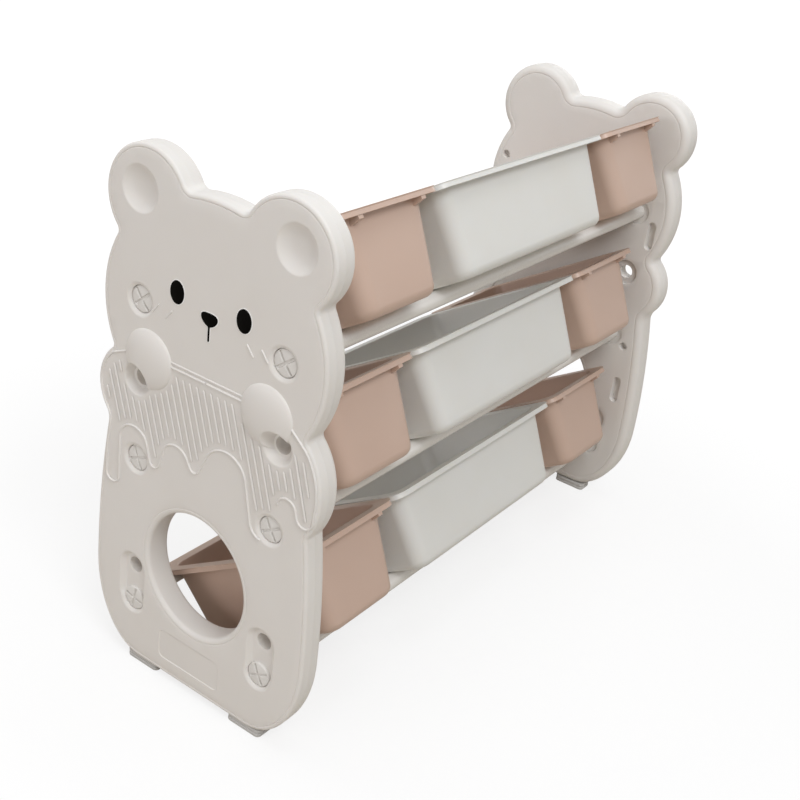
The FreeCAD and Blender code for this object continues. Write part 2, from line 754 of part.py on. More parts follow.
def gusset(x):
    """Small web under the rear flange, from the wall out to the skirt."""
    inside = rear_wall - bin_wall / 2
    outside = rim_rear - skirt_thickness / 2
    low = rim_level - gusset_height
    corners = [Vector(x, inside, rim_level), Vector(x, outside, rim_level),
               Vector(x, outside, low + gusset_height / 3), Vector(x, rear_wall, low),
               Vector(x, inside, low)]
    plate = Part.Face(Part.makePolygon(corners + corners[:1]))
    return plate.extrude(Vector(gusset_width, 0, 0))


def storage_bin(length, middle, height):
    """Tapered bin that hooks over the front rod and lies on the rear rod."""
    reach = length / 2 - rim_width - tub_corner
    forms = [rim(length)]
    if length <= small_bin_length:
        forms += [gusset(-reach - gusset_width / 2), gusset(reach - gusset_width / 2)]
    shell = tub(length, floor_level, rim_level, 0, floor_round).fuse(forms)
    cavity = tub(length, floor_level + bin_wall, rim_top + overrun, bin_wall,
                 floor_round - bin_wall)
    shell = shell.cut(cavity).removeSplitter()
    shell.rotate(Vector(0, 0, 0), Vector(1, 0, 0), bin_tilt)
    shell.translate(Vector(middle, 0, height))
    return shell


def bins():
    """The nine bins by name: three to a row, the large one in the middle."""
    reach = large_bin_length / 2 + bin_gap + small_bin_length / 2
    columns = (("left", -reach, small_bin_length), ("centre", 0, large_bin_length),
               ("right", reach, small_bin_length))
    rows = zip(("bottom", "middle", "top"), row_heights)
    return {f"bin_{row}_{column}": storage_bin(length, middle, height)
            for row, height in rows for column, middle, length in columns}


def rods():
    """The six rods by name."""
    rows = zip(("bottom", "middle", "top"), row_heights)
    return {f"rod_{row}_{place}": rod(side, height)
            for row, height in rows for place, side in (("front", -1), ("rear", 1))}


def main():
    """Builds every piece and writes one STEP file for each."""
    right = {"panel": end_panel(), "rod_plugs": rod_ends(lambda index: rod_plug()),
             "screws": rod_ends(lambda index: screw(screw_turns[index])),
             "eyes": eyes(), "nose": nose(),
             "foot_front": foot(foot_places[0]), "foot_rear": foot(foot_places[1])}
    turned_round = {"foot_front": "foot_rear", "foot_rear": "foot_front"}
    pieces = {}
    for name, shape in right.items():
        pieces[f"{name}_right"] = shape
        pieces[f"{turned_round.get(name, name)}_left"] = mirrored(shape)
    pieces.update(rods())
    pieces.update(bins())
    os.makedirs("parts", exist_ok=True)
    for name, shape in pieces.items():
        shape.exportStep(f"parts/{name}.step")


if __name__ == "__main__":
    main()
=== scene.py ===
"""Looks of the kids shelving unit: bear-shaped end panels, coated rods and lift-off bins."""

import logging
import math
from dataclasses import dataclass
from enum import Enum
from typing import Any, Sequence

import bmesh
import bpy
import numpy as np
from mathutils import Matrix, Vector
from mathutils.geometry import delaunay_2d_cdt


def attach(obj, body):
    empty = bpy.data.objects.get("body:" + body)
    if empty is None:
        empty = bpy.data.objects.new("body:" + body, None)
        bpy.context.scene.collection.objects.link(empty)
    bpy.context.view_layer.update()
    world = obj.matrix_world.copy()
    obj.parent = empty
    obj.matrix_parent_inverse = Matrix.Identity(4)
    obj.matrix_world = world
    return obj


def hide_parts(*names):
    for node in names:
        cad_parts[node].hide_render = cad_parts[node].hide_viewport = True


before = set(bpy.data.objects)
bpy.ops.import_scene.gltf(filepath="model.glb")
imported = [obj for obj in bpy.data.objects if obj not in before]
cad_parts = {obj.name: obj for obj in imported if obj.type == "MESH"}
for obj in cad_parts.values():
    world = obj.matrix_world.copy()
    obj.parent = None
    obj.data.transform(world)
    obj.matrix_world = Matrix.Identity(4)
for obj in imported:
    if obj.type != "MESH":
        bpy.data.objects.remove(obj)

LOG = logging.getLogger("shelving_unit")
MM = 0.001  # metres in a millimetre: every size below is in millimetres
CREASE = math.radians(34)  # faces that meet at more than this keep a crisp edge
MERGE = 1e-6  # metres between points that are one point
ON_LINE = 0.01  # distance within which a point of a net lies on a line
FULL_TURN = 2 * math.pi
RACK_BODY = "rack"
WHITE = (1.0, 1.0, 1.0)

Array = np.ndarray
Socket = bpy.types.NodeSocket
Thing = bpy.types.Object


# Sizes that the pieces share


@dataclass(frozen=True)
class Rack:
    """Sizes that the whole unit shares.

    Attributes:
        length: Distance between the outer faces of the end panels.
        rod_spacing: Distance from the front rods to the rear rods.
        row_pitch: Distance from one row of rods to the next.
        bottom_row: Height of the lowest rods.
        foot_drop: Height of the panels' bottom edge.
        rod_radius: Outer radius of a rod.
        seat_gap: Free space between a bin and its rods.
        tilt: Angle in degrees that the bins lean forward.
    """

    length: float = 990.0
    rod_spacing: float = 240.0
    row_pitch: float = 234.0
    bottom_row: float = 108.0
    foot_drop: float = 12.0
    rod_radius: float = 12.5
    seat_gap: float = 0.3
    tilt: float = 32.0

    def row(self, number: float) -> float:
        """Height of a row of rods, counted from the lowest one."""
        return self.bottom_row + number * self.row_pitch

    @property
    def half_length(self) -> float:
        """Distance from the middle to a panel's outer face."""
        return self.length / 2

    @property
    def rods(self) -> list[tuple[float, float]]:
        """Place across and height of each rod, front and rear, from the lowest row up."""
        return [(sign * self.rod_spacing / 2, self.row(row)) for row in range(3) for sign in (-1, 1)]


RACK = Rack()


class Side(Enum):
    """The two end panels: one mould, the second one turned half round."""

    RIGHT = 1
    LEFT = -1

    @property
    def word(self) -> str:
        """The side's name in node names."""
        return self.name.lower()

    def carry(self, points: Array) -> Array:
        """Points of the right panel turned half round to this side."""
        return points * np.array([self.value, self.value, 1.0])


class Row(Enum):
    """Rows of bins, by their number from the floor."""

    BOTTOM = 0
    MIDDLE = 1
    TOP = 2

    @property
    def word(self) -> str:
        """The row's name in node names."""
        return self.name.lower()


class Column(Enum):
    """Bins of a row, by the place of their middle along the rods and their length."""

    LEFT = (-335.0, 208.0)
    CENTRE = (0.0, 450.0)
    RIGHT = (335.0, 208.0)

    @property
    def word(self) -> str:
        """The column's name in node names."""
        return self.name.lower()


# Meshes


def put_in_scene(name: str, data: bpy.types.ID) -> Thing:
    """Makes an object of a mesh, a light or a camera and links it to the scene."""
    made = bpy.data.objects.new(name, data)
    bpy.context.scene.collection.objects.link(made)
    return made


def smooth_piece(name: str, mesh: bpy.types.Mesh, degenerate: bool = False) -> Thing:
    """Makes an object of a mesh, with doubles merged, faces turned outward and soft shading.

    Args:
        name: Name of the piece.
        mesh: Its mesh.
        degenerate: Whether edges and faces without any size are dissolved.

    Returns:
        The new object, at the origin.
    """
    form = bmesh.new()
    form.from_mesh(mesh)
    bmesh.ops.remove_doubles(form, verts=form.verts, dist=MERGE)
    if degenerate:
        bmesh.ops.dissolve_degenerate(form, edges=form.edges, dist=MERGE)
    bmesh.ops.recalc_face_normals(form, faces=form.faces)
    form.to_mesh(mesh)
    form.free()
    mesh.shade_smooth()
    mesh.set_sharp_from_angle(angle=CREASE)
    return put_in_scene(name, mesh)


class Shell:
    """Collects points and faces in millimetres and turns them into one mesh."""

    def __init__(self) -> None:
        """Starts with nothing in it."""
        self.rows: list[Array] = []
        self.faces: list[Sequence[int]] = []
        self.count = 0

    def add(self, points: Array) -> Array:
        """Adds points.

        Args:
            points: Places, one row each.

        Returns:
            The indices that the points got.
        """
        points = np.asarray(points, float).reshape(-1, 3)
        self.rows.append(points)
        self.count += len(points)
        return np.arange(self.count - len(points), self.count)

    def band(self, loops: Sequence[Array]) -> None:
        """Joins closed loops of equally many points into a band of quads.

        Args:
            loops: Rows of points, each one loop.
        """
        marks = [self.add(loop) for loop in loops]
        for lower, upper in zip(marks, marks[1:]):
            for a, b, c, d in zip(lower, np.roll(lower, -1), np.roll(upper, -1), upper):
                self.faces.append((int(a), int(b), int(c), int(d)))

    def cap(self, loop: Array) -> None:
        """Closes a flat loop with one face."""
        self.faces.append([int(mark) for mark in self.add(loop)])

    def closed_band(self, loops: Sequence[Array]) -> None:
        """Joins flat loops into a band and closes both of its ends."""
        self.band(loops)
        self.cap(loops[0])
        self.cap(loops[-1])

    def patch(self, points: Array, faces: Sequence[Sequence[int]]) -> None:
        """Adds a net of faces that index their own points."""
        start = self.count
        self.add(points)
        self.faces.extend([tuple(start + mark for mark in face) for face in faces])

    def carried(self, side: Side) -> "Shell":
        """The same shell on one of the two panels."""
        other = Shell()
        other.rows = [side.carry(points) for points in self.rows]
        other.faces, other.count = self.faces, self.count
        return other

    def build(self, name: str, finish: bpy.types.Material) -> Thing:
        """Makes the object.

        Args:
            name: Name of the piece.
            finish: Its material.

        Returns:
            The new object, at the origin.
        """
        mesh = bpy.data.meshes.new(name)
        mesh.from_pydata((np.vstack(self.rows) * MM).tolist(), [], [list(face) for face in self.faces])
        mesh.materials.append(finish)
        return smooth_piece(name, mesh, degenerate=True)


def at_level(loop: Array, level: float) -> Array:
    """Points of a flat loop at a height."""
    return np.column_stack([loop, np.full(len(loop), level)])


def circle(y: float, z: float, radius: float, steps: int) -> Array:
    """Places round a centre, anticlockwise from +Y."""
    turns = np.linspace(0, FULL_TURN, steps, endpoint=False)
    return np.stack([y + radius * np.cos(turns), z + radius * np.sin(turns)], 1)


def soft_max(first: Array, second: Array, width: float) -> Array:
    """The larger of two heights, with the edge between them rounded over a width."""
    blend = np.maximum(width - np.abs(first - second), 0) / width
    return np.maximum(first, second) + blend * blend * width / 4


def soft_min(first: Array, second: Array, width: float) -> Array:
    """The smaller of two heights, with the edge between them rounded over a width."""
    return -soft_max(-first, -second, width)


def ease(share: Array) -> Array:
    """Smooth step from 0 to 1."""
    share = np.clip(share, 0, 1)
    return share * share * (3 - 2 * share)


def inside(places: Array, polygon: Array) -> Array:
    """Which places lie in a polygon.

    Args:
        places: Places, one row each.
        polygon: Corners in order.

    Returns:
        One true or false for each place.
    """
    y, z = places[:, :1], places[:, 1:]
    start, end = polygon, np.roll(polygon, -1, 0)
    crosses = (start[:, 1] > z) != (end[:, 1] > z)
    rise = np.where(end[:, 1] == start[:, 1], 1.0, end[:, 1] - start[:, 1])
    meets = start[:, 0] + (z - start[:, 1]) * (end[:, 0] - start[:, 0]) / rise
    return (crosses & (y < meets)).sum(1) % 2 == 1


def edge_distance(places: Array, polygon: Array) -> Array:
    """Distance from each place to a closed polygon's nearest edge."""
    start, end = polygon, np.roll(polygon, -1, 0)
    along = end - start
    length = np.maximum((along ** 2).sum(1), MERGE)
    offset = places[:, None, :] - start[None]
    share = np.clip((offset * along).sum(2) / length, 0, 1)
    return np.sqrt(((offset - share[..., None] * along) ** 2).sum(2)).min(1)


# Outline of an end panel


@dataclass(frozen=True)
class Oval:
    """Upright oval that part of the outline follows.

    Attributes:
        y: Place of the centre across the panel.
        z: Height of the centre.
        across: Half width.
        up: Half height.
    """

    y: float
    z: float
    across: float
    up: float

    def point(self, turn: float) -> Array:
        """Place at a turn."""
        return np.array([self.y + self.across * math.cos(turn), self.z + self.up * math.sin(turn)])

    def normal(self, turn: float) -> Array:
        """Outward direction at a turn."""
        way = np.array([math.cos(turn) / self.across, math.sin(turn) / self.up])
        return way / np.linalg.norm(way)

    def turn_of(self, place: Array) -> float:
        """Turn whose ray passes through a place."""
        return math.atan2((place[1] - self.z) / self.up, (place[0] - self.y) / self.across)

    def holds(self, place: Array) -> bool:
        """Whether a place lies inside."""
        return ((place[0] - self.y) / self.across) ** 2 + ((place[1] - self.z) / self.up) ** 2 < 1


@dataclass(frozen=True)
class Outline:
    """Bear-shaped outline of an end panel, seen from its outer side.

    Attributes:
        width: Full width of the panel.
        height: Full height without the feet.
        head: Centre height, half width and half height of the head.
        ear: Place across, height and radius of an ear.
        short_sleeve: Place across, height and radius of the front sleeve.
        long_sleeve: Place across, height, half width and half height of the rear sleeve.
        corner: Half width and half height of the body's rounded bottom corners.
        shoulder: Half width and height where the body's sides end.
        notches: Radius of the notch after each oval, in the order of forms.
        step: Distance between neighbouring points.
        bend: Turn in radians between neighbouring points of a notch.
    """

    width: float = 390.0
    height: float = 768.0
    head: tuple[float, float, float] = (571.1, 187.0, 172.0)
    ear: tuple[float, float, float] = (113.1, 709.0, 71.0)
    short_sleeve: tuple[float, float, float] = (-126.0, 438.2, 69.0)
    long_sleeve: tuple[float, float, float, float] = (117.0, 412.9, 78.0, 94.0)
    corner: tuple[float, float] = (90.0, 138.0)
    shoulder: tuple[float, float] = (167.7, 426.7)
    notches: tuple[float, ...] = (0.0, 6.0, 8.0, 9.0, 14.0, 14.0, 9.0, 8.0, 24.0, 0.0, 0.0)
    step: float = 3.6
    bend: float = 0.16

    def forms(self) -> list[tuple[Oval, float]]:
        """Ovals in anticlockwise order, each with the notch radius before the next one."""
        half = self.width / 2
        level = RACK.foot_drop + self.corner[1]
        climb, drawn_in = self.shoulder[1] - level, half - self.shoulder[0]
        side = (climb ** 2 + drawn_in ** 2) / (2 * drawn_in)
        head = Oval(0.0, *self.head)
        ears = [Oval(sign * self.ear[0], *self.ear[1:], self.ear[2]) for sign in (1, -1)]
        corners = [Oval(sign * (half - self.corner[0]), level, *self.corner) for sign in (1, -1)]
        sides = [Oval(sign * (half - side), level, side, side) for sign in (1, -1)]
        long_sleeve = Oval(*self.long_sleeve)
        short_sleeve = Oval(*self.short_sleeve, self.short_sleeve[2])
        ovals = [corners[0], sides[0], long_sleeve, head, ears[0], head, ears[1], head, short_sleeve,
                 sides[1], corners[1]]
        return list(zip(ovals, self.notches))

    def notch(self, first: Oval, second: Oval, start: float, radius: float) -> tuple[float, float]:
        """Where a ball that rolls in the notch between two ovals touches them.

        Args:
            first: Oval that the outline leaves.
            second: Oval that it goes on along.
            start: Turn on the first oval from which the outline comes.
            radius: Radius of the notch.

        Returns:
            The turn on the first oval and the turn on the second one.
        """
        turn = start
        while not second.holds(first.point(turn)):
            turn += 1 / max(first.across, first.up)
        turns = np.array([turn, second.turn_of(first.point(turn))])

        def apart(pair: Array) -> Array:
            """How far apart the ball's two centres are."""
            one = first.point(pair[0]) + radius * first.normal(pair[0])
            other = second.point(pair[1]) + radius * second.normal(pair[1])
            return one - other

        tiny = 1e-6
        for _ in range(12):
            gap = apart(turns)
            slopes = [(apart(turns + tiny * np.eye(2)[k]) - gap) / tiny for k in range(2)]
            turns = turns - np.linalg.solve(np.array(slopes).T, gap)
        return float(turns[0]), float(turns[1])

    def trace(self) -> tuple[Array, Array, Array]:
        """Walks round the outline.

        Returns:
            Points, outward directions and each point's label: the number of the oval that it lies
            on, or a half more in the notch after it.
        """
        forms = self.forms()
        places: list[Array] = []
        ways: list[Array] = []
        labels: list[float] = []
        turn = -math.pi / 2
        for number, (form, radius) in enumerate(forms):
            arc = None
            if number + 1 == len(forms):
                end, onward = 1.5 * math.pi, 0.0
            elif radius == 0:
                end = onward = 0.0 if number == 0 else math.pi
            else:
                following = forms[number + 1][0]
                end, onward = self.notch(form, following, turn, radius)
                centre = form.point(end) + radius * form.normal(end)
                arc = (centre, -form.normal(end), -following.normal(onward), radius)
            while end < turn:
                end += FULL_TURN
            steps = max(2, round((end - turn) * (form.across + form.up) / 2 / self.step))
            for share in np.arange(steps) / steps:
                places.append(form.point(turn + share * (end - turn)))
                ways.append(form.normal(turn + share * (end - turn)))
                labels.append(number)
            if arc:
                centre, first, second, radius = arc
                begin = math.atan2(first[1], first[0])
                sweep = (math.atan2(second[1], second[0]) - begin + math.pi) % FULL_TURN - math.pi
                steps = max(4, round(abs(sweep) / self.bend))
                for share in np.arange(steps) / steps:
                    way = np.array([math.cos(begin + share * sweep), math.sin(begin + share * sweep)])
                    places.append(centre + radius * way)
                    ways.append(-way)
                    labels.append(number + 0.5)
            turn = onward
        bottom = self.width / 2 - self.corner[0]
        for y in np.linspace(-bottom, bottom, 30, endpoint=False):
            places.append(np.array([y, RACK.foot_drop]))
            ways.append(np.array([0.0, -1.0]))
            labels.append(len(forms))
        return np.array(places), np.array(ways), np.array(labels)


# Relief of the panel's faces: every form gives a depth below the flat face


class Form:
    """Something pressed into or raised from a face of the panel."""

    def shape(self, places: Array, depth: Array) -> Array:
        """Depth of each place once this form is there as well.

        Args:
            places: Places on the face, one row each.
            depth: Their depths without the form.

        Returns:
            Their depths with it.
        """
        raise NotImplementedError

    def loops(self) -> list[Array]:
        """Closed lines that the net of the face follows."""
        raise NotImplementedError


@dataclass(frozen=True)
class Funnel(Form):
    """Flared recess round an upright line, such as a screw's seat or a keyhole.

    Attributes:
        y: Place across.
        low: Height of the line's lower end.
        high: Height of its upper end.
        floor: Radius at the floor.
        mouth: Radius at the face.
        depth: Depth of the floor.
        flare: Depth at which the flare ends and the steep wall begins.
        soften: How much depth the rounding of its edges takes up.
        reach: How far past the mouth the net stays fine.
        steepness: Depth that the steep wall gains over its width.
        ring_steps: Points in a ring of the net.
        ring_gap: Distance between rings of the flare.
    """

    y: float
    low: float
    high: float
    floor: float
    mouth: float
    depth: float
    flare: float
    soften: float = 0.9
    reach: float = 2.6
    steepness: float = 12.0
    ring_steps: int = 64
    ring_gap: float = 0.75

    def away(self, places: Array) -> Array:
        """Distance from the line."""
        up = places[:, 1] - np.clip(places[:, 1], self.low, self.high)
        return np.hypot(places[:, 0] - self.y, up)

    def shape(self, places: Array, depth: Array) -> Array:
        """Cuts a flare and a steep wall down to a level floor, with their edges rounded."""
        away = self.away(places)
        wall = (self.mouth - away) * self.flare / (self.mouth - self.floor)
        if self.flare < self.depth:
            wall = np.maximum(wall, self.flare + (self.floor - away) * self.steepness)
        wall = soft_min(wall, np.full(len(places), self.depth), self.soften)
        return np.minimum(soft_max(depth, wall, self.soften), np.maximum(depth, self.depth))

    def loops(self) -> list[Array]:
        """Rings from the floor's edge to past the mouth."""
        steep = [self.floor - share for share in (1.2, 0.55, 0.38, 0.2)]
        radii = np.arange(self.floor, self.mouth + self.reach, self.ring_gap)
        return [self.ring(radius) for radius in (*steep, *radii)]

    def ring(self, radius: float) -> Array:
        """Closed line at a distance from the upright line."""
        steps = self.ring_steps
        turns = np.linspace(0, FULL_TURN, steps, endpoint=False) + math.pi / steps
        lift = np.where(np.sin(turns) > 0, self.high, self.low)
        return np.stack([self.y + radius * np.cos(turns), lift + radius * np.sin(turns)], 1)


@dataclass(frozen=True)
class Dish(Form):
    """Soft round bowl of an ear, rolled over at its rim.

    Attributes:
        y: Place across.
        z: Height.
        radius: Radius at the face.
        depth: Depth of the middle.
        roll: How far past the rim its rounding reaches.
        soften: How much depth that rounding takes up.
        bend: Exponent of the bowl's section: the higher, the flatter its floor.
    """

    y: float
    z: float
    radius: float = 30.5
    depth: float = 8.4
    roll: float = 1.5
    soften: float = 1.2
    bend: int = 3

    def shape(self, places: Array, depth: Array) -> Array:
        """Cuts a bowl whose edge is a little rounded."""
        away = np.hypot(places[:, 0] - self.y, places[:, 1] - self.z) / self.radius
        bowl = self.depth * (1 - away ** self.bend)
        return np.where(away < 1 + self.roll / self.radius, soft_max(depth, bowl, self.soften), depth)

    def loops(self) -> list[Array]:
        """Rings over the whole bowl."""
        radii = [*np.linspace(2.6, self.radius - 3, 13), *(self.radius + np.arange(-2.0, 2.1, 0.8))]
        return [circle(self.y, self.z, radius, max(12, int(radius * 2))) for radius in radii]


@dataclass(frozen=True)
class Dome(Form):
    """Low round cap of a paw.

    Attributes:
        y: Place across.
        z: Height.
        radius: Radius at the face.
        height: Height of the middle above the face.
        soften: How much height the rounding at its foot takes up.
        bend: Exponents of its section across and upward.
        fall: Slope at which it goes on below the face.
        reach: Share of the radius up to which it does so.
    """

    y: float
    z: float
    radius: float = 41.5
    height: float = 10.4
    soften: float = 0.5
    bend: tuple[float, float] = (2.2, 0.62)
    fall: float = 3.0
    reach: float = 1.3

    def shape(self, places: Array, depth: Array) -> Array:
        """Adds a cap that falls off steeply toward its foot, and on into a recess beside it."""
        away = np.hypot(places[:, 0] - self.y, places[:, 1] - self.z) / self.radius
        left = 1 - away ** self.bend[0]
        cap = self.height * np.where(left > 0, np.abs(left) ** self.bend[1], self.fall * left)
        return np.where(away < self.reach, -soft_max(-depth, cap, self.soften), depth)

    def loops(self) -> list[Array]:
        """Rings over the cap, closer toward its foot, and just past it."""
        shares = [*np.sin(np.linspace(0.08, 0.485, 15) * math.pi), 0.9995, 1.012, 1.024]
        return [circle(self.y, self.z, share * self.radius, max(12, int(share * self.radius * 2.2)))
                for share in shares]


def slope_insets(slope: float) -> tuple[float, float, float]:
    """Insets of the lines at the foot, the middle and the top of a sloped edge."""
    return -0.1, slope / 2, slope + 0.1


@dataclass(frozen=True)
class Plate(Form):
    """Bare rounded plate, sunk a little below the face.

    Attributes:
        middle: Place across of its middle.
        half_width: Half of its width.
        low: Height of its lower edge.
        high: Height of its upper edge.
        corner: Radius of its corners.
        sunk: Depth below the face.
        slope: Width of its sloped edge.
    """

    middle: float = -6.3
    half_width: float = 57.5
    low: float = 37.5
    high: float = 86.0
    corner: float = 9.0
    sunk: float = 0.9
    slope: float = 1.1

    def shape(self, places: Array, depth: Array) -> Array:
        """Sinks the plate with a sloped edge."""
        middle, half = (self.low + self.high) / 2, (self.high - self.low) / 2
        across = np.abs(places[:, 0] - self.middle) - self.half_width + self.corner
        up = np.abs(places[:, 1] - middle) - half + self.corner
        past_corner = np.hypot(np.maximum(across, 0), np.maximum(up, 0))
        away = past_corner + np.minimum(np.maximum(across, up), 0)
        return np.maximum(depth, self.sunk * ease((self.corner - away) / self.slope))

    def loops(self) -> list[Array]:
        """Lines at the foot, the middle and the top of its edge."""
        left, right = self.middle - self.half_width, self.middle + self.half_width
        return [rounded_loop((left + inset, right - inset), (self.low + inset, self.high - inset),
                             self.corner - inset, 8) for inset in slope_insets(self.slope)]


def rounded_loop(across: tuple[float, float], up: tuple[float, float], corner: float,
                 steps: int, straight: int = 1) -> Array:
    """Rounded rectangle, anticlockwise from its lower right corner.

    Args:
        across: Lowest and highest value of the first coordinate.
        up: Lowest and highest value of the second one.
        corner: Radius of the corners.
        steps: Points in each corner, less one.
        straight: Parts that each side is cut into.

    Returns:
        Its points, one row each.
    """
    centres = [(across[1] - corner, up[0] + corner), (across[1] - corner, up[1] - corner),
               (across[0] + corner, up[1] - corner), (across[0] + corner, up[0] + corner)]
    points: list[tuple[float, float]] = []
    for quarter, (y, z) in enumerate(centres):
        for turn in (quarter - 1) * math.pi / 2 + np.linspace(0, math.pi / 2, steps + 1):
            points.append((y + corner * math.cos(turn), z + corner * math.sin(turn)))
    points = np.array(points)
    ends = steps + 1
    rows = []
    for quarter in range(4):
        mine = points[quarter * ends:(quarter + 1) * ends]
        following = points[((quarter + 1) * ends) % len(points)]
        shares = np.arange(1, straight)[:, None] / straight
        rows += [mine, mine[-1] + shares * (following - mine[-1])]
    return np.vstack(rows)


@dataclass(frozen=True)
class Sweater(Form):
    """Sweater area with a dripping lower edge, raised a little above the body.

    Attributes:
        outline: Outline of the panel that it lies on.
        drips: Circles that the lower edge runs round, from the front to the rear: place across,
            height and radius, tips and valleys in turn.
        neck: Places of the upper edge, from the rear sleeve to the front one.
        inset: Distance of its sides from the panel's outline.
        height: Height above the face.
        slope: Width of its sloped edge.
        join: Heights over the first and the last drip at which the front and the rear edge
            start to run toward them.
        drip_step: Distance between points of the lower edge.
        rear_labels: First and last label of the outline's points that its rear edge follows.
        front_labels: The same for its front edge.
    """

    outline: Outline
    drips: tuple[tuple[float, float, float], ...] = (
        (-164.2, 300.0, 14.0), (-125.0, 364.0, 25.0), (-85.0, 352.5, 10.5), (-46.5, 370.0, 22.0),
        (-12.5, 375.5, 10.0), (41.0, 386.0, 34.0), (110.0, 344.0, 24.5), (144.5, 385.5, 13.3),
        (174.0, 384.5, 15.0))
    neck: tuple[tuple[float, float], ...] = ((142.0, 498.5), (101.0, 504.5), (0.0, 504.9),
                                             (-101.0, 504.5), (-142.0, 498.0))
    inset: float = 7.9
    height: float = 0.9
    slope: float = 1.2
    join: tuple[float, float] = (45.0, 12.0)
    drip_step: float = 2.2
    rear_labels: tuple[float, float] = (1.5, 2.0)
    front_labels: tuple[float, float] = (8.0, 9.0)

    def drip_line(self, inset: float = 0.0) -> Array:
        """Lower edge from the front to the rear.

        Args:
            inset: How far up inside the sweater the line lies.

        Returns:
            Its points, one row each.
        """
        circles = [(np.array(place), radius - inset if turn == 1 else radius + inset, turn)
                   for (*place, radius), turn in zip(self.drips, [1, -1] * len(self.drips))]
        leaves: list[Array] = []
        meets: list[Array] = [np.array([-1.0, 0.0])]
        for (start, first, way), (end, second, onward) in zip(circles, circles[1:]):
            gap = end - start
            spread = math.acos((onward * second - way * first) / np.linalg.norm(gap))
            lean = math.atan2(gap[1], gap[0]) + spread
            left = np.array([math.cos(lean), math.sin(lean)])
            leaves.append(-way * left)
            meets.append(-onward * left)
        leaves.append(np.array([1.0, 0.0]))
        rows = []
        for (centre, radius, way), begin, finish in zip(circles, meets, leaves):
            angle = math.atan2(begin[1], begin[0])
            sweep = math.atan2(finish[1], finish[0]) - angle
            sweep = way * ((way * sweep) % FULL_TURN)
            steps = max(4, round(abs(sweep) * radius / self.drip_step))
            turns = angle + np.linspace(0, 1, steps + 1) * sweep
            rows.append(np.stack([centre[0] + radius * np.cos(turns),
                                  centre[1] + radius * np.sin(turns)], 1))
        return np.vstack(rows)

    def border(self, inset: float = 0.0, side: float | None = None) -> Array:
        """Whole edge of the sweater, drawn in by an inset.

        Args:
            inset: How far inside the edge the line lies.
            side: Its distance from the panel's outline along the sleeves, if that differs.

        Returns:
            Its points, one row each.
        """
        places, ways, labels = self.outline.trace()
        edge = places - (self.inset + inset if side is None else side) * ways
        front, rear = (edge[(labels >= low) & (labels <= high) & (edge[:, 1] > drip[1] + join)]
                       for (low, high), drip, join in
                       ((self.front_labels, self.drips[0], self.join[0]),
                        (self.rear_labels, self.drips[-1], self.join[1])))
        neck = np.array(self.neck) - np.array([0, inset])
        return np.vstack([self.drip_line(inset), rear, neck, front])

    def depth_inside(self, places: Array) -> Array:
        """How far inside its edge each place lies, below zero outside."""
        border = self.border()
        return edge_distance(places, border) * np.where(inside(places, border), 1, -1)

    def shape(self, places: Array, depth: Array) -> Array:
        """Raises the sweater with a sloped edge."""
        return np.minimum(depth, -self.height * ease(self.depth_inside(places) / self.slope))

    def loops(self) -> list[Array]:
        """Lines at the foot, the middle and the top of its edge."""
        return [self.border(inset) for inset in slope_insets(self.slope)]


@dataclass(frozen=True)
class Bore:
    """Round hole through the panel, as radii and depths from the outer to the inner face.

    Attributes:
        y: Place across.
        z: Height.
        profile: Radius and depth of each ring.
        steps: Points in a ring.
        narrow: Width of each ring as a share of its height.
    """

    y: float
    z: float
    profile: tuple[tuple[float, float], ...]
    steps: int = 48
    narrow: float = 1.0

    def ring(self, radius: float) -> Array:
        """Places of one ring."""
        return circle(0, self.z, radius, self.steps) * [self.narrow, 1] + [self.y, 0]


# End panel


def face_net(border: Array, holes: Sequence[Array], lines: Sequence[Array], spacing: float,
             margin: float = 2.0) -> tuple[Array, list[Sequence[int]]]:
    """Fills a flat region with triangles that follow given lines.

    Args:
        border: Outer edge, anticlockwise.
        holes: Edges of the holes in it.
        lines: Closed lines that edges of the net follow.
        spacing: Distance between the loose points that fill the flats.
        margin: Least distance of loose points from the border and the holes.

    Returns:
        The net's places and its triangles.
    """
    low, high = border.min(0), border.max(0)
    grid = np.stack(np.meshgrid(np.arange(low[0], high[0], spacing),
                                np.arange(low[1], high[1], spacing)), -1).reshape(-1, 2)
    kept = inside(grid, border) & (edge_distance(grid, border) > margin)
    for line in (*holes, *lines):
        kept &= edge_distance(grid, line) > margin
    for hole in holes:
        kept &= ~inside(grid, hole)
    rows, edges, count = [grid[kept]], [], int(kept.sum())
    for line in (border, *holes, *lines):
        marks = np.arange(len(line)) + count
        edges += list(zip(marks.tolist(), np.roll(marks, -1).tolist()))
        rows.append(line)
        count += len(line)
    places = [Vector(place) for place in np.vstack(rows).tolist()]
    found, _, faces, *_ = delaunay_2d_cdt(places, edges, [], 0, 1e-4)
    net = np.array([tuple(place) for place in found])
    middles = np.array([net[list(face)].mean(0) for face in faces])
    wanted = inside(middles, border)
    for hole in holes:
        wanted &= ~inside(middles, hole)
    return net, [face for face, keep in zip(faces, wanted) if keep]


